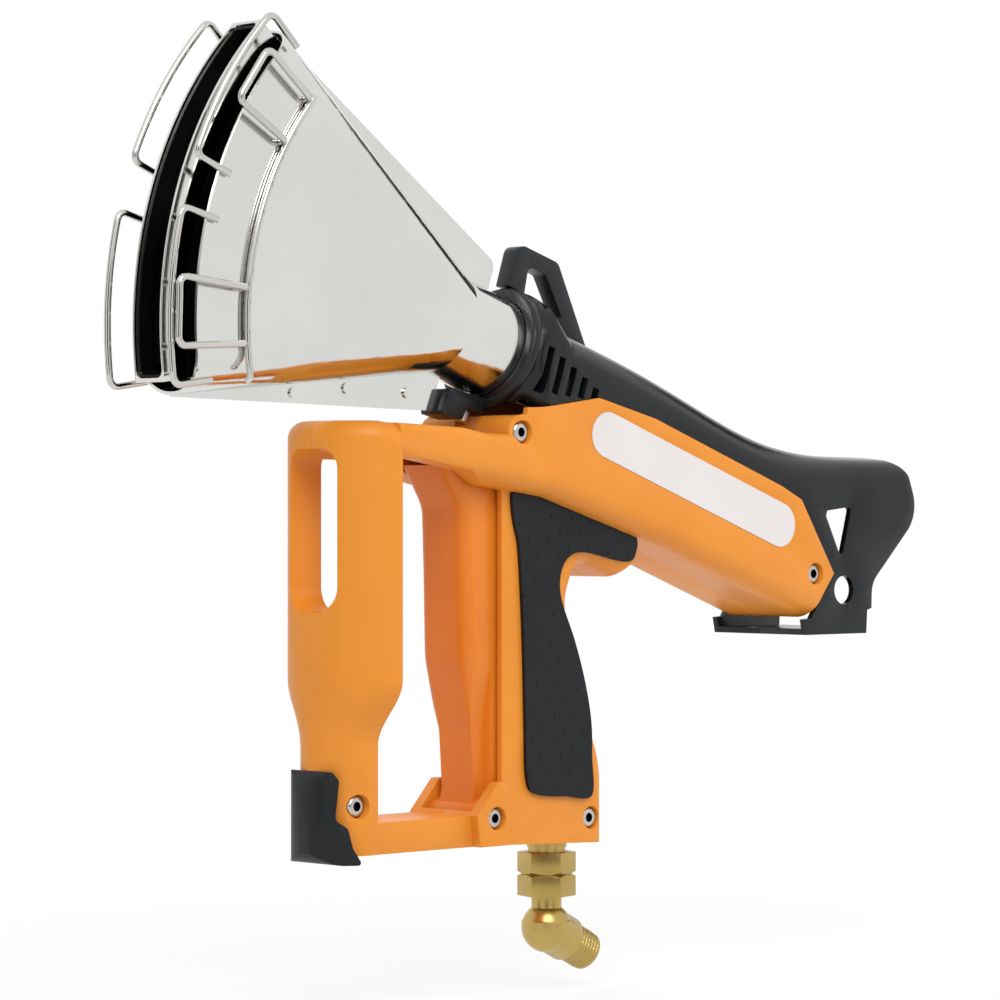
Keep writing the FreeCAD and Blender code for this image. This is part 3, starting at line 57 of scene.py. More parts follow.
def noise(tree, scale, detail=3.0, stretch=(1.0, 1.0, 1.0), turn=(0.0, 0.0, 0.0)):
    """Noise on the piece's own coordinates."""
    place = tree.nodes.new("ShaderNodeTexCoord")
    mapping = tree.nodes.new("ShaderNodeMapping")
    mapping.inputs["Scale"].default_value = stretch
    mapping.inputs["Rotation"].default_value = turn
    texture = tree.nodes.new("ShaderNodeTexNoise")
    texture.inputs["Scale"].default_value = scale
    texture.inputs["Detail"].default_value = detail
    tree.links.new(place.outputs["Object"], mapping.inputs["Vector"])
    tree.links.new(mapping.outputs["Vector"], texture.inputs["Vector"])
    return texture


def ramp(tree, source, low, high, start=0.3, end=0.7):
    """Colour between low and high as source rises from start to end."""
    band = tree.nodes.new("ShaderNodeValToRGB")
    band.color_ramp.elements[0].position = start
    band.color_ramp.elements[1].position = end
    band.color_ramp.elements[0].color = (*low, 1.0)
    band.color_ramp.elements[1].color = (*high, 1.0)
    tree.links.new(source.outputs["Fac"], band.inputs["Fac"])
    return band


def grain(tree, surface, source, strength, depth):
    """Bump on the shader's normal."""
    bump = tree.nodes.new("ShaderNodeBump")
    bump.inputs["Strength"].default_value = strength
    bump.inputs["Distance"].default_value = depth
    tree.links.new(source.outputs["Fac"], bump.inputs["Height"])
    tree.links.new(bump.outputs["Normal"], surface.inputs["Normal"])


def vary(tree, surface, socket, source, low, high):
    """A shader value that runs from low to high with source."""
    span = tree.nodes.new("ShaderNodeMapRange")
    span.inputs["To Min"].default_value = low
    span.inputs["To Max"].default_value = high
    tree.links.new(source.outputs["Fac"], span.inputs["Value"])
    tree.links.new(span.outputs["Result"], surface.inputs[socket])


def moulding(name, colour, shade, roughness, spark=2600.0, depth=0.00006, shine=0.45):
    """Moulded plastic with a spark-eroded skin."""
    material, tree, surface = shader(name, Specular_IOR_Level=shine)
    clouds = noise(tree, 26.0)
    tint = ramp(tree, clouds, shade, colour)
    tree.links.new(tint.outputs["Color"], surface.inputs["Base Color"])
    vary(tree, surface, "Roughness", noise(tree, 60.0), roughness - 0.07, roughness + 0.07)
    grain(tree, surface, noise(tree, spark, 2.0), 0.35, depth)
    return material


def dress(node, material, round_off=0.0):
    """A CAD node with its own material, its edges broken by a small round."""
    piece = nodes[node]
    piece.data.materials.clear()
    piece.data.materials.append(material)
    for face in piece.data.polygons:
        face.use_smooth = True
    weld = piece.modifiers.new("Weld", "WELD")
    weld.merge_threshold = 0.00001
    if round_off:
        bevel = piece.modifiers.new("Bevel", "BEVEL")
        bevel.width = round_off
        bevel.segments = 2
        bevel.limit_method = "ANGLE"
        bevel.angle_limit = math.radians(40)
        bevel.harden_normals = False
    split = piece.modifiers.new("Edges", "EDGE_SPLIT")
    split.split_angle = math.radians(32)
    return piece


orange = moulding("orange_nylon", (0.74, 0.262, 0.024), (0.70, 0.235, 0.020), 0.42, shine=0.32)
for half in ("left_casing", "right_casing"):
    dress(half, orange, 0.0009)

# ---------------------------------------------------------------------------
# Casing screws: zinc-plated button heads with a hexagon socket, sunk in the
# left half and driven into bosses of the right one.


def metal(name, colour, shade, roughness, stretch=(1.0, 1.0, 1.0), scale=240.0, relief=0.15):
    """Bare or plated metal with the fine lines of its making."""
    material, tree, surface = shader(name, Metallic=1.0)
    lines = noise(tree, scale, 4.0, stretch)
    tint = ramp(tree, noise(tree, 30.0), shade, colour)
    tree.links.new(tint.outputs["Color"], surface.inputs["Base Color"])
    vary(tree, surface, "Roughness", lines, roughness - 0.08, roughness + 0.10)
    grain(tree, surface, lines, relief, 0.00004)
    return material



def loose_mesh(name, points, links, faces=()):
    """A mesh from points in millimetres."""
    mesh = bpy.data.meshes.new(name)
    mesh.from_pydata([MM * Vector(point) for point in points], links, faces)
    return mesh


def tree_of(name, sizes):
    """An empty geometry tree with one named input for each size."""
    tree = bpy.data.node_groups.new(name, "GeometryNodeTree")
    tree.interface.new_socket("Geometry", in_out="INPUT", socket_type="NodeSocketGeometry")
    for label in sizes:
        tree.interface.new_socket(label, in_out="INPUT", socket_type="NodeSocketFloat")
    tree.interface.new_socket("Geometry", in_out="OUTPUT", socket_type="NodeSocketGeometry")
    return tree, tree.nodes.new("NodeGroupInput"), tree.nodes.new("NodeGroupOutput")


def finish_tree(tree, geometry, out, material):
    """The end of every tree: real geometry with its material."""
    real = tree.nodes.new("GeometryNodeRealizeInstances")
    paint = tree.nodes.new("GeometryNodeSetMaterial")
    paint.inputs["Material"].default_value = material
    tree.links.new(geometry, real.inputs["Geometry"])
    tree.links.new(real.outputs["Geometry"], paint.inputs["Geometry"])
    tree.links.new(paint.outputs["Geometry"], out.inputs["Geometry"])
    return paint


def grown(name, mesh, tree, sizes, body):
    """The piece that a tree makes of a base mesh, turned into a plain mesh on its body."""
    piece = bpy.data.objects.new(name, mesh)
    modifier = piece.modifiers.new("Grow", "NODES")
    modifier.node_group = tree
    for item in tree.interface.items_tree:
        if item.in_out == "INPUT" and item.name in sizes:
            modifier[item.identifier] = sizes[item.name]
    bpy.context.scene.collection.objects.link(piece)
    made = piece.evaluated_get(bpy.context.evaluated_depsgraph_get())
    shape = bpy.data.meshes.new_from_object(made)
    piece.modifiers.remove(modifier)
    piece.data = shape
    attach(piece, body)
    return piece


screw_zinc = metal("zinc_plated_screw", (0.66, 0.64, 0.61), (0.50, 0.48, 0.46), 0.26)
# The hexagon socket is painted near black: painted shade standing in for the shade inside the recess.
socket_shade_paint = metal("painted_shade_socket_metal", (0.02, 0.02, 0.02), (0.01, 0.01, 0.01), 0.50)
HEAD_RADIUS, HEAD_HEIGHT, SHANK_RADIUS = 3.9, 2.6, 1.9
SCREWS = ((-35.5, -23.8, 84.5, 38.5), (124.3, -23.8, 31.0, 38.5), (-106.0, -12.8, -48.5, 17.0),
          (-42.0, -16.8, -56.0, 24.5), (8.5, -14.8, -58.5, 20.5))   # x, head face, z, shank
SIDES = 24                                       # steps round a turned shape


def hexagon(flat, turn):
    """Radius of a hexagon at a turn, from half its width across flats."""
    return flat / math.cos((turn % (math.pi / 3)) - math.pi / 6)


def turned(name, rows, hexagonal=(), dark_from=99):
    """A turned shape about Y from rows of (radius, y), closed at both ends.

    Rows in hexagonal have six flats; faces after the row dark_from count as the recess, which is
    marked for painted shade.
    """
    points, faces = [], []
    for row, (radius, y) in enumerate(rows):
        for step in range(SIDES):
            turn = 2 * math.pi * step / SIDES
            reach = hexagon(radius, turn) if row in hexagonal else radius
            points.append((reach * math.cos(turn), y, reach * math.sin(turn)))
    for row in range(len(rows) - 1):
        for step in range(SIDES):
            after = (step + 1) % SIDES
            faces.append((row * SIDES + step, row * SIDES + after,
                          (row + 1) * SIDES + after, (row + 1) * SIDES + step))
    faces.append(tuple(reversed(range(SIDES))))
    faces.append(tuple((len(rows) - 1) * SIDES + step for step in range(SIDES)))
    mesh = loose_mesh(name, points, [], faces)
    shade = mesh.attributes.new("recess", "BOOLEAN", "FACE")
    for number in range(len(faces)):
        shade.data[number].value = number >= dark_from * SIDES and number != len(faces) - 2
    work = bmesh.new()
    work.from_mesh(mesh)
    bmesh.ops.recalc_face_normals(work, faces=work.faces)
    work.to_mesh(mesh)
    work.free()
    return bpy.data.objects.new(name, mesh)


button = turned("button_head", [(HEAD_RADIUS - 0.3, HEAD_HEIGHT), (HEAD_RADIUS, HEAD_HEIGHT - 0.3),
                                (HEAD_RADIUS, 1.1), (HEAD_RADIUS - 0.35, 0.5), (3.1, 0.12), (2.5, 0.0),
                                (1.75, 0.05), (1.6, 0.25), (1.6, 1.6)], hexagonal=(7, 8), dark_from=6)
shank = turned("screw_shank", [(SHANK_RADIUS, 0.0), (SHANK_RADIUS, 0.92), (1.2, 1.0)])
seats = loose_mesh("screw_seats", [(x, face, z) for x, face, z, _ in SCREWS], [])
lengths = seats.attributes.new("reach", "FLOAT", "POINT")
for number, screw in enumerate(SCREWS):
    lengths.data[number].value = screw[3]
tree, given, out = tree_of("screws_at_seats", ("Head height",))
both = tree.nodes.new("GeometryNodeJoinGeometry")
for model in (button, shank):
    info = tree.nodes.new("GeometryNodeObjectInfo")
    info.inputs["Object"].default_value = model
    info.inputs["As Instance"].default_value = True
    place = tree.nodes.new("GeometryNodeInstanceOnPoints")
    source = given.outputs["Geometry"]
    if model is shank:
        deeper = tree.nodes.new("GeometryNodeSetPosition")
        drop = tree.nodes.new("ShaderNodeCombineXYZ")
        tree.links.new(given.outputs["Head height"], drop.inputs["Y"])
        tree.links.new(drop.outputs["Vector"], deeper.inputs["Offset"])
        tree.links.new(source, deeper.inputs["Geometry"])
        source = deeper.outputs["Geometry"]
        length = tree.nodes.new("GeometryNodeInputNamedAttribute")
        length.data_type = "FLOAT"
        length.inputs["Name"].default_value = "reach"
        stretch = tree.nodes.new("ShaderNodeCombineXYZ")
        stretch.inputs["X"].default_value = stretch.inputs["Z"].default_value = 1.0
        tree.links.new(length.outputs["Attribute"], stretch.inputs["Y"])
        tree.links.new(stretch.outputs["Vector"], place.inputs["Scale"])
    tree.links.new(source, place.inputs["Points"])
    tree.links.new(info.outputs["Geometry"], place.inputs["Instance"])
    tree.links.new(place.outputs["Instances"], both.inputs["Geometry"])
paint = finish_tree(tree, both.outputs["Geometry"], out, screw_zinc)
# Faces of the recess take the near-black socket material: painted shade in the hexagon socket.
hollow = tree.nodes.new("GeometryNodeInputNamedAttribute")
hollow.data_type = "BOOLEAN"
hollow.inputs["Name"].default_value = "recess"
blacken = tree.nodes.new("GeometryNodeSetMaterial")
blacken.inputs["Material"].default_value = socket_shade_paint
tree.links.new(hollow.outputs["Attribute"], blacken.inputs["Selection"])
tree.links.new(paint.outputs["Geometry"], blacken.inputs["Geometry"])
tree.links.new(blacken.outputs["Geometry"], out.inputs["Geometry"])
screws = grown("button_screws", seats, tree, {"Head height": HEAD_HEIGHT * MM}, "handle")
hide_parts("casing_screws")

# ---------------------------------------------------------------------------
# Name plate, left bare: a thin strip of anodised aluminium with round ends,
# stuck in a shallow recess of the left half.

plate = metal("anodised_plate", (0.93, 0.88, 0.87), (0.88, 0.83, 0.82), 0.42, (1.0, 1.0, 14.0))
dress("label_plate", plate)

# ---------------------------------------------------------------------------
# Rubber cheeks of the grip and the shoe on the foot of the guard: black
# thermoplastic rubber, the cheeks with rows of small dimples.


def side_plane(tree, **values):
    """The piece's own X and Z, its sideways part left out, and the coordinates they come from."""
    place = tree.nodes.new("ShaderNodeTexCoord")
    flat = tree.nodes.new("ShaderNodeMapping")
    flat.inputs["Scale"].default_value = (1.0, 0.0, 1.0)
    for socket, value in values.items():
        flat.inputs[socket].default_value = value
    tree.links.new(place.outputs["Object"], flat.inputs["Vector"])
    return flat, place


def dimples(material, spacing, depth):
    """Rows of round dimples, seen from the side."""
    tree = material.node_tree
    surface = tree.nodes["Principled BSDF"]
    flat, _ = side_plane(tree, Rotation=(0.0, math.radians(38), 0.0))
    cells = tree.nodes.new("ShaderNodeTexVoronoi")
    cells.inputs["Scale"].default_value = 1.0 / spacing
    cells.inputs["Randomness"].default_value = 0.0
    span = tree.nodes.new("ShaderNodeMapRange")
    span.inputs["From Min"].default_value = 0.05
    span.inputs["From Max"].default_value = 0.10
    bump = tree.nodes.new("ShaderNodeBump")
    bump.inputs["Strength"].default_value = 0.9
    bump.inputs["Distance"].default_value = depth
    tree.links.new(flat.outputs["Vector"], cells.inputs["Vector"])
    tree.links.new(cells.outputs["Distance"], span.inputs["Value"])
    tree.links.new(span.outputs["Result"], bump.inputs["Height"])
    skin = surface.inputs["Normal"].links[0].from_node
    tree.links.new(skin.outputs["Normal"], bump.inputs["Normal"])
    tree.links.new(bump.outputs["Normal"], surface.inputs["Normal"])


rubber = moulding("shoe_rubber", (0.008, 0.010, 0.013), (0.005, 0.007, 0.009), 0.44, 1500.0, 0.00008,
                  0.28)
dress("foot_bumper", rubber, 0.0014)
cheek_rubber = moulding("cheek_rubber", (0.006, 0.008, 0.010), (0.004, 0.005, 0.007), 0.46, 1500.0,
                        0.00006, 0.26)
dimples(cheek_rubber, 0.0074, 0.0010)
CHEEK_SEAT, CHEEK_SKIN = 16.06, 17.65            # mid-plane to the cheek's two faces
CHEEK_OUTLINE = ((-33.4, 62.8), (-27.7, 63.0), (24.0, 50.4), (30.6, 46.6), (31.2, 41.2), (26.2, 36.6),
                 (4.0, 40.4), (-5.0, 38.6), (-9.2, 32.0), (-8.6, 22.9), (-1.8, 8.0), (3.5, -7.0),
                 (6.9, -22.0), (7.4, -36.0), (7.2, -50.2), (-6.0, -49.8), (-20.6, -48.4),
                 (-26.2, -43.0), (-27.2, -22.0), (-27.8, 0.0), (-28.8, 22.0), (-30.4, 42.3),
                 (-32.4, 50.0), (-33.8, 57.0))


def smooth_loop(corners, steps):
    """A closed loop that runs smoothly through its corners."""
    loop = []
    for number in range(len(corners)):
        a, b, c, d = (Vector(corners[(number + shift) % len(corners)]) for shift in (-1, 0, 1, 2))
        for step in range(steps):
            t = step / steps
            loop.append(0.5 * (2 * b + (c - a) * t + (2 * a - 5 * b + 4 * c - d) * t * t
                               + (3 * b - a - 3 * c + d) * t ** 3))
    return loop


for side, sign in (("left", -1), ("right", 1)):
    loop = smooth_loop(CHEEK_OUTLINE, 5)
    count = len(loop)
    seat, skin = sign * CHEEK_SEAT, sign * CHEEK_SKIN
    points = [(x, seat, z) for x, z in loop] + [(x, skin, z) for x, z in loop]
    faces = [tuple(range(count)), tuple(range(2 * count - 1, count - 1, -1))]
    faces += [(n, count + n, count + (n + 1) % count, (n + 1) % count) for n in range(count)]
    mesh = loose_mesh(f"{side}_cheek", points, [], faces)
    work = bmesh.new()
    work.from_mesh(mesh)
    bmesh.ops.recalc_face_normals(work, faces=work.faces)
    for face in work.faces:
        face.smooth = True
    work.to_mesh(mesh)
    work.free()
    mesh.materials.append(cheek_rubber)
    cheek = bpy.data.objects.new(f"{side}_cheek", mesh)
    bpy.context.scene.collection.objects.link(cheek)
    soften = cheek.modifiers.new("Bevel", "BEVEL")
    soften.width, soften.segments, soften.limit_method = 0.0008, 3, "ANGLE"
    soften.angle_limit, soften.harden_normals = math.radians(50), True
    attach(cheek, "handle")
    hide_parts(f"{side}_grip_pad")

# ---------------------------------------------------------------------------
# Trigger: a long moulded lever, a little redder than the casing, that turns
# on the pivot screw at the foot of the hand opening.

lever = moulding("trigger_nylon", (0.74, 0.215, 0.018), (0.68, 0.185, 0.015), 0.34, shine=0.32)
dress("trigger", lever, 0.0008)

# ---------------------------------------------------------------------------
# Gas inlet: turned brass valve, nipple, washers, union nut and a cast elbow
# whose outlet carries a rolled hose thread.

brass = metal("machined_brass", (0.60, 0.44, 0.15), (0.44, 0.31, 0.09), 0.30)
for piece in ("gas_valve", "valve_plunger", "inlet_nipple", "inlet_washers", "union_nut",
              "hose_elbow", "injector"):
    dress(piece, brass, 0.0003 if piece in ("union_nut", "hose_elbow") else 0.0)


def bend_path(name, chains):
    """Edges through chains of (point, bend radius) in millimetres, the bends kept as an attribute."""
    points, links, bends = [], [], []
    for chain in chains:
        for number, (point, bend) in enumerate(chain):
            if number:
                links.append((len(points) - 1, len(points)))
            points.append(point)
            bends.append(bend * MM)
    mesh = loose_mesh(name, points, links)
    kept = mesh.attributes.new("bend", "FLOAT", "POINT")
    for number, bend in enumerate(bends):
        kept.data[number].value = bend
    return mesh


def rod_tree(name, material):
    """Round rod along a path, its corners bent to the path's own radii."""
    tree, given, out = tree_of(name, ("Rod radius",))
    run = tree.nodes.new("GeometryNodeMeshToCurve")
    bends = tree.nodes.new("GeometryNodeInputNamedAttribute")
    bends.data_type = "FLOAT"
    bends.inputs["Name"].default_value = "bend"
    rounded = tree.nodes.new("GeometryNodeFilletCurve")
    rounded.mode = "POLY"
    rounded.inputs["Count"].default_value = 7
    rounded.inputs["Limit Radius"].default_value = True
    section = tree.nodes.new("GeometryNodeCurvePrimitiveCircle")
    section.inputs["Resolution"].default_value = 14
    skin = tree.nodes.new("GeometryNodeCurveToMesh")
    skin.inputs["Fill Caps"].default_value = True
    smooth = tree.nodes.new("GeometryNodeSetShadeSmooth")
    tree.links.new(given.outputs["Geometry"], run.inputs["Mesh"])
    tree.links.new(run.outputs["Curve"], rounded.inputs["Curve"])
    tree.links.new(bends.outputs["Attribute"], rounded.inputs["Radius"])
    tree.links.new(given.outputs["Rod radius"], section.inputs["Radius"])
    tree.links.new(rounded.outputs["Curve"], skin.inputs["Curve"])
    tree.links.new(section.outputs["Curve"], skin.inputs["Profile Curve"])
    tree.links.new(skin.outputs["Mesh"], smooth.inputs["Geometry"])
    finish_tree(tree, smooth.outputs["Geometry"], out, material)
    return tree


THREAD_FROM, THREAD_TO, THREAD_PITCH, THREAD_RADIUS = 12.5, 22.0, 1.6, 7.0
outlet, across = Vector((0.891, 0.0, -0.454)), Vector((0.454, 0.0, 0.891))
ELBOW = Vector((0.8, 0.0, -100.0))
STEPS = 20                                       # points to a turn of the thread
helix = []
for step in range(int((THREAD_TO - THREAD_FROM) / THREAD_PITCH * STEPS) + 1):
    turn = 2 * math.pi * step / STEPS
    helix.append((ELBOW + (THREAD_FROM + THREAD_PITCH * step / STEPS) * outlet
                  + THREAD_RADIUS * (math.cos(turn) * across + math.sin(turn) * Vector((0, 1, 0))),
                  0.0))
grown("outlet_thread", bend_path("thread_path", [helix]), rod_tree("thread_ridge", brass),
      {"Rod radius": 0.55 * MM}, "hose_elbow")

# ---------------------------------------------------------------------------
# Piezo igniter: a bought part in a black case, clamped in the grip behind
# the trigger, with its striker at the front.

black = moulding("igniter_plastic", (0.020, 0.021, 0.023), (0.013, 0.014, 0.016), 0.4)
for piece in ("piezo_igniter", "igniter_striker"):
    dress(piece, black)

# ---------------------------------------------------------------------------
# Air housing, collar, hanging hook and latch: smooth black nylon mouldings,
# the housing's two halves glossier than the fittings on it.

housing = moulding("housing_nylon", (0.006, 0.008, 0.009), (0.004, 0.005, 0.006), 0.20, 900.0,
                   0.00002, 0.34)
for half in ("left_housing", "right_housing"):
    dress(half, housing, 0.0008)
fitting = moulding("fitting_nylon", (0.012, 0.014, 0.016), (0.008, 0.010, 0.012), 0.32, shine=0.32)
for piece in ("collar_ring", "nozzle_latch", "hanging_hook"):
    dress(piece, fitting, 0.0007)

# ---------------------------------------------------------------------------
# Barrel: the drawn steel tube that the nozzle turns on, the pin that locks
# it, and the bent copper pipe that feeds the gas jet.

drawn_steel = metal("drawn_steel", (0.62, 0.61, 0.59), (0.52, 0.51, 0.50), 0.24, (1.0, 1.0, 6.0))
for piece in ("latch_pin", "venturi_tube"):
    dress(piece, drawn_steel)
copper = metal("copper_pipe", (0.72, 0.36, 0.20), (0.55, 0.24, 0.12), 0.35)
dress("gas_pipe", copper)

# ---------------------------------------------------------------------------
# Nozzle shells: two pressed and polished steel sheets, riveted through the
# flanges that run along their edges.

polished = metal("polished_sheet", (0.70, 0.70, 0.675), (0.66, 0.66, 0.635), 0.10, scale=18.0,
                 relief=0.03)
for piece in ("left_nozzle_shell", "right_nozzle_shell", "flange_rivets"):
    dress(piece, polished)

# ---------------------------------------------------------------------------
# Mouth: the flame duct's bright rim, painted near black on its inner side
# below the top as painted shade, and the perforated strip set back in it.

BARREL = Vector((-22.0, 0.0, 113.3))             # millimetres, on the barrel's axis
AHEAD = Vector((-0.9455, 0.0, 0.3256))           # along the barrel to the mouth
ABOVE = Vector((0.3256, 0.0, 0.9455))
MOUTH = 20.0                                     # centre of the fan's arcs, along the barrel


def fan(radius, degrees, side):
    """A point in millimetres on an arc of the fan, at a distance from the mid-plane."""
    turn = math.radians(degrees)
    return (BARREL + (MOUTH + radius * math.cos(turn)) * AHEAD
            + radius * math.sin(turn) * ABOVE + Vector((0, side, 0)))


# The duct and the grid are given a near-black steel colour.
duct_near_black = metal("near_black_steel", (0.030, 0.029, 0.028), (0.012, 0.012, 0.012), 0.5)
for piece in ("flame_duct", "flame_grid"):
    dress(piece, duct_near_black)
rim = metal("rim_with_painted_shade", (0.74, 0.73, 0.70), (0.68, 0.67, 0.645), 0.10, scale=18.0)
tree = rim.node_tree
surface = tree.nodes["Principled BSDF"]
centre = MM * fan(0.0, 0.0, 0.0)
flat, place = side_plane(tree, Location=(-centre.x, 0.0, -centre.z))
# The rim's inner side, inside the fan's arc and below its top, is painted near black: painted shade
# inside the mouth.
far = tree.nodes.new("ShaderNodeVectorMath")
far.operation = "LENGTH"
edge = tree.nodes.new("ShaderNodeMapRange")
edge.inputs["From Min"].default_value = 0.1448
edge.inputs["From Max"].default_value = 0.1460
blend = tree.nodes.new("ShaderNodeMix")
blend.data_type = "RGBA"
blend.inputs["A"].default_value = (0.035, 0.033, 0.032, 1.0)
tree.links.new(flat.outputs["Vector"], far.inputs[0])
tree.links.new(far.outputs["Value"], edge.inputs["Value"])
level = tree.nodes.new("ShaderNodeSeparateXYZ")
upper = tree.nodes.new("ShaderNodeMapRange")
upper.inputs["From Min"].default_value = 0.162
upper.inputs["From Max"].default_value = 0.184
clear = tree.nodes.new("ShaderNodeMath")
clear.operation = "MAXIMUM"
tree.links.new(place.outputs["Object"], level.inputs["Vector"])
tree.links.new(level.outputs["Z"], upper.inputs["Value"])
tree.links.new(edge.outputs["Result"], clear.inputs[0])
tree.links.new(upper.outputs["Result"], clear.inputs[1])
tree.links.new(clear.outputs["Value"], blend.inputs["Factor"])
tree.links.new(surface.inputs["Base Color"].links[0].from_socket, blend.inputs["B"])
tree.links.new(blend.outputs["Result"], surface.inputs["Base Color"])
dress("rim_band", rim, 0.0004)

PIP_REACH, PIP_RADIUS, PIP_ROWS = 142.1, 0.5, (-3.4, -0.6, 2.2)
pips = loose_mesh("pip_places", [fan(PIP_REACH, -23.5 + 1.0 * step, row)
                                 for step in range(48) for row in PIP_ROWS], [])
pip_metal = metal("pierced_lip", (0.62, 0.60, 0.57), (0.45, 0.43, 0.41), 0.25)
tree, given, out = tree_of("pips_on_strip", ("Pip radius",))
ball = tree.nodes.new("GeometryNodeMeshIcoSphere")
ball.inputs["Subdivisions"].default_value = 2
place = tree.nodes.new("GeometryNodeInstanceOnPoints")
tree.links.new(given.outputs["Pip radius"], ball.inputs["Radius"])
tree.links.new(given.outputs["Geometry"], place.inputs["Points"])
tree.links.new(ball.outputs["Mesh"], place.inputs["Instance"])
finish_tree(tree, place.outputs["Instances"], out, pip_metal)
grown("strip_pips", pips, tree, {"Pip radius": PIP_RADIUS * MM}, "nozzle")

# ---------------------------------------------------------------------------
# Wire guards: bent from 2.5 mm bright wire and spot-welded to the cowl, a
# bail ahead of the mouth and a two-legged bracket behind it at each end.

WIRE = 1.25                                      # radius of the wire, millimetres
REACH, BAIL_END, BAIL_BEND = 153.5, 137.5, 6.0   # the bail's front, its ends and its corners
LEG_END, LEG_RISE = 122.0, 2.4                   # foot of a bracket's leg, and its clear height
FAR_LINK = 134.0                                 # link of the short brackets on the right side
ARC_REACH, ARC_TOP, ARC_SPAN = 120.5, 22.6, 50.5
BAIL_SWEEP, ARC_SWEEP = 400.0, 300.0             # wide bends that run a wire round an arc
FOOT_LIFT = 0.15                                 # a foot's end over the sheet
bright = metal("bright_wire", (0.64, 0.63, 0.60), (0.56, 0.55, 0.525), 0.10, scale=30.0,
               relief=0.03)
wire_rod = rod_tree("bent_wire", bright)


def cowl_half(radius, degrees):
    """Half depth of the cowl at a point of the fan."""
    along = MOUTH + radius * math.cos(math.radians(degrees))
    return 19.0 + (along - 34.0) / 139.0 * (15.4 - 19.0)


def on_cowl(radius, degrees, lift, sign):
    """A wire's centre over the cowl's flat side."""
    return fan(radius, degrees, sign * (cowl_half(radius, degrees) + lift))


for side, sign in (("left", -1), ("right", 1)):
    for level, first, last, legs, link in (("upper", 26.0, 3.0, (21.5, 12.5), 147.5),
                                           ("lower", -4.0, -27.0, (-13.0, -22.0), 152.3)):
        link = link if side == "left" else FAR_LINK
        stand = sign * (cowl_half(141.0, 0.0) + WIRE + 0.1)
        bail = [(on_cowl(BAIL_END, first, WIRE + 0.1, sign), 0.0),
                (fan(REACH, first, stand), BAIL_BEND)]
        for step in range(1, 6):
            bail.append((fan(REACH, first + (last - first) * step / 6, stand), BAIL_SWEEP))
        bail += [(fan(REACH, last, stand), BAIL_BEND),
                 (on_cowl(BAIL_END, last, WIRE + 0.1, sign), 0.0)]
        high = sign * (cowl_half(134.0, legs[0]) + WIRE + LEG_RISE)
        bracket = [(on_cowl(LEG_END, legs[0], FOOT_LIFT, sign), 0.0),
                   (fan(LEG_END, legs[0], high), 2.2), (fan(link, legs[0], high), 3.0),
                   (fan(link, legs[1], high), 3.0), (fan(LEG_END, legs[1], high), 2.2),
                   (on_cowl(LEG_END, legs[1], FOOT_LIFT, sign), 0.0)]
        guard = grown(f"{level}_{side}_bail", bend_path("guard_path", [bail, bracket]), wire_rod,
                      {"Rod radius": WIRE * MM}, "nozzle")
        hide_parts(f"{level}_{side}_guard")
    arc = [(on_cowl(ARC_REACH, ARC_TOP, FOOT_LIFT, sign), 0.0)]
    for step in range(11):
        arc.append((on_cowl(ARC_REACH, ARC_TOP - ARC_SPAN * step / 10, WIRE + 0.4, sign),
                    ARC_SWEEP if step % 10 else 1.2))
    arc.append((on_cowl(ARC_REACH, ARC_TOP - ARC_SPAN, FOOT_LIFT, sign), 0.0))
    bow = grown(f"{side}_bow", bend_path("bow_path", [arc]), wire_rod, {"Rod radius": WIRE * MM},
                "nozzle")
    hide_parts(f"{side}_arc_wire")

# ---------------------------------------------------------------------------
# Studio: a pale floor that keeps the shadow, a white surround, soft lamps,
# black cloth flags that only the bright metal sees, and the camera.

FLOOR = -0.124


def either_ray(tree, rays, *kinds):
    """1 for a ray of any of these kinds."""
    found = rays.outputs[kinds[0]]
    for kind in kinds[1:]:
        either = tree.nodes.new("ShaderNodeMath")
        either.operation = "MAXIMUM"
        tree.links.new(found, either.inputs[0])
        tree.links.new(rays.outputs[kind], either.inputs[1])
        found = either.outputs[0]
    return found


def paper(name, near, far):
    """Pale paper: part of its white comes from the camera ray alone, more of it further out."""
    material = bpy.data.materials.new(name)
    material.use_nodes = True
    tree = material.node_tree
    tree.nodes.clear()
    out = tree.nodes.new("ShaderNodeOutputMaterial")
    matte = tree.nodes.new("ShaderNodeBsdfDiffuse")
    matte.inputs["Color"].default_value = (0.86, 0.86, 0.86, 1.0)
    white = tree.nodes.new("ShaderNodeEmission")
    white.inputs["Strength"].default_value = 1.0
    rays = tree.nodes.new("ShaderNodeLightPath")
    share = tree.nodes.new("ShaderNodeMath")
    share.operation = "MULTIPLY"
    place = tree.nodes.new("ShaderNodeTexCoord")
    length = tree.nodes.new("ShaderNodeVectorMath")
    length.operation = "LENGTH"
    fade = tree.nodes.new("ShaderNodeMapRange")
    fade.interpolation_type = "SMOOTHSTEP"
    fade.inputs["From Min"].default_value = 0.20
    fade.inputs["From Max"].default_value = 0.75
    fade.inputs["To Min"].default_value = near
    fade.inputs["To Max"].default_value = far
    mix = tree.nodes.new("ShaderNodeMixShader")
    tree.links.new(place.outputs["Object"], length.inputs[0])
    tree.links.new(length.outputs["Value"], fade.inputs["Value"])
    tree.links.new(fade.outputs["Result"], share.inputs[1])
    tree.links.new(either_ray(tree, rays, "Is Camera Ray", "Is Glossy Ray"), share.inputs[0])
    tree.links.new(share.outputs[0], mix.inputs["Fac"])
    tree.links.new(matte.outputs[0], mix.inputs[1])
    tree.links.new(white.outputs[0], mix.inputs[2])
    tree.links.new(mix.outputs[0], out.inputs["Surface"])
    return material


floor_mesh = bpy.data.meshes.new("floor")
WIDE = 6.0
floor_mesh.from_pydata([(-WIDE, -WIDE, FLOOR), (WIDE, -WIDE, FLOOR), (WIDE, WIDE, FLOOR),
                        (-WIDE, WIDE, FLOOR)], [], [(0, 1, 2, 3)])
floor = bpy.data.objects.new("floor", floor_mesh)
bpy.context.scene.collection.objects.link(floor)
floor_mesh.materials.append(paper("floor_paper", 0.80, 1.0))

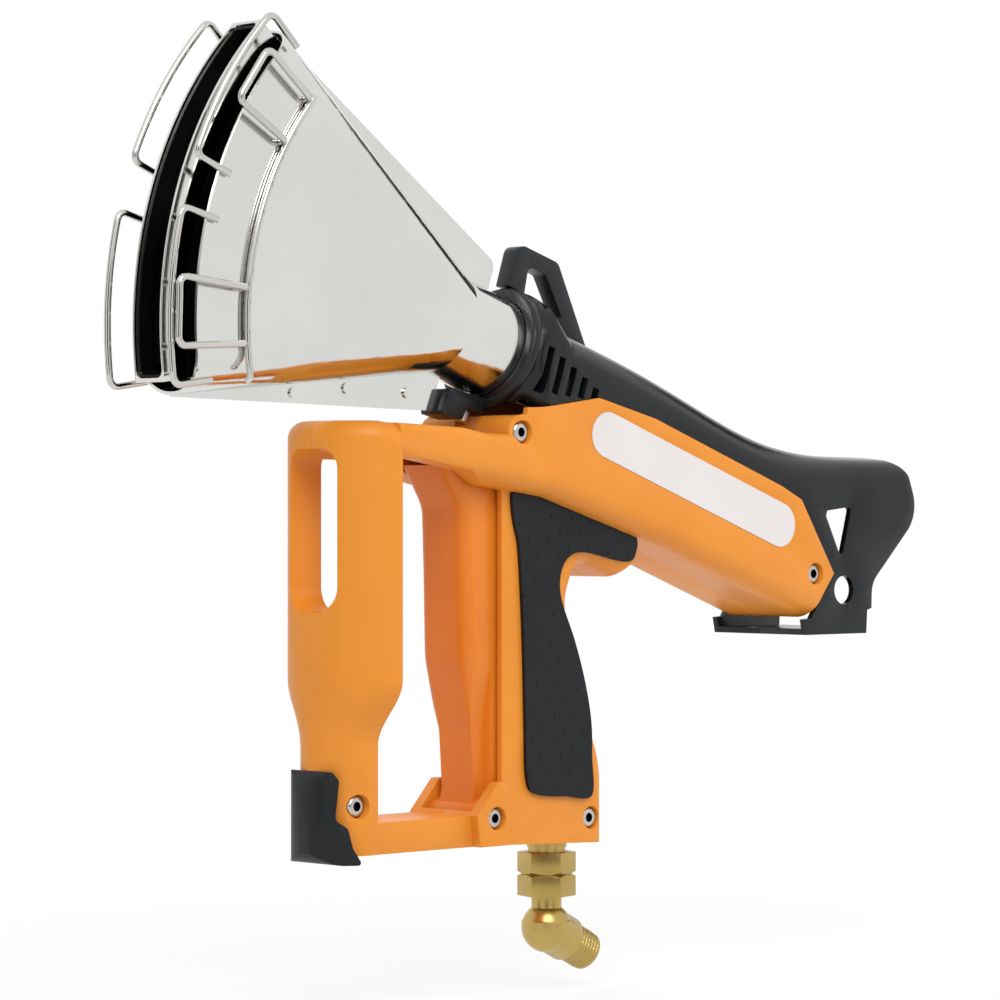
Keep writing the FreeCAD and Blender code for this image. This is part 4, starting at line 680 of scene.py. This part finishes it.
world = bpy.data.worlds.new("surround")
bpy.context.scene.world = world
world.use_nodes = True
tree = world.node_tree
tree.nodes.clear()
out = tree.nodes.new("ShaderNodeOutputWorld")
ambient = tree.nodes.new("ShaderNodeBackground")
ambient.inputs["Color"].default_value = (1.0, 1.0, 1.0, 1.0)
ambient.inputs["Strength"].default_value = 0.55
seen = tree.nodes.new("ShaderNodeBackground")
seen.inputs["Color"].default_value = (1.0, 1.0, 1.0, 1.0)
seen.inputs["Strength"].default_value = 1.0
rays = tree.nodes.new("ShaderNodeLightPath")
mix = tree.nodes.new("ShaderNodeMixShader")
tree.links.new(either_ray(tree, rays, "Is Camera Ray", "Is Glossy Ray", "Is Transmission Ray"),
               mix.inputs["Fac"])
tree.links.new(ambient.outputs[0], mix.inputs[1])
tree.links.new(seen.outputs[0], mix.inputs[2])
tree.links.new(mix.outputs[0], out.inputs["Surface"])


def lamp(name, place, target, power, size, mirrored=True):
    """A square soft box aimed at a point, kept out of the bright metal unless mirrored."""
    light = bpy.data.lights.new(name, "AREA")
    light.energy = power
    light.size = size
    box = bpy.data.objects.new(name, light)
    bpy.context.scene.collection.objects.link(box)
    box.location = place
    box.rotation_euler = (Vector(target) - Vector(place)).to_track_quat("-Z", "Y").to_euler()
    box.visible_glossy = mirrored


def flag(name, place, width, height):
    """A black cloth screen, turned to the object, that draws dark edges in the bright metal."""
    half, rise = width / 2, height / 2
    mesh = bpy.data.meshes.new(name)
    mesh.from_pydata([(-half, -rise, 0), (half, -rise, 0), (half, rise, 0), (-half, rise, 0)], [],
                     [(0, 1, 2, 3)])
    screen = bpy.data.objects.new(name, mesh)
    bpy.context.scene.collection.objects.link(screen)
    screen.location = place
    screen.rotation_euler = (-Vector(place)).to_track_quat("Z", "Y").to_euler()
    mesh.materials.append(shader(f"{name}_cloth", Base_Color=(0.01, 0.01, 0.01, 1.0),
                                 Roughness=0.9)[0])
    screen.visible_camera = screen.visible_diffuse = screen.visible_shadow = False


flag("flag_behind", (1.50, 0.30, 0.62), 0.55, 0.45)
flag("flag_camera", (-1.45, -1.50, 0.10), 1.1, 1.0)
flag("flag_left", (-1.35, 0.35, 0.25), 0.45, 1.0)
flag("flag_right", (0.30, -1.45, 0.15), 0.30, 1.0)

middle = (0.0, 0.0, 0.05)
lamp("key", (-0.9, -1.3, 1.5), middle, 26.0, 1.1)
lamp("fill", (1.4, -0.9, 0.7), middle, 10.0, 1.2, False)
lamp("rim", (0.3, 1.5, 1.1), middle, 14.0, 1.0, False)

look = math.radians(44.0)
target = Vector((-0.0234, 0.0, 0.05985))
camera_data = bpy.data.cameras.new("camera")
camera_data.lens = 144.0
camera_data.sensor_width = 36.0
camera = bpy.data.objects.new("camera", camera_data)
bpy.context.scene.collection.objects.link(camera)
camera.location = target - 1.48 * Vector((math.sin(look), math.cos(look), 0.0))
camera.rotation_euler = (math.radians(90), 0.0, -look)
bpy.context.scene.camera = camera
bpy.context.scene.view_settings.view_transform = "Standard"
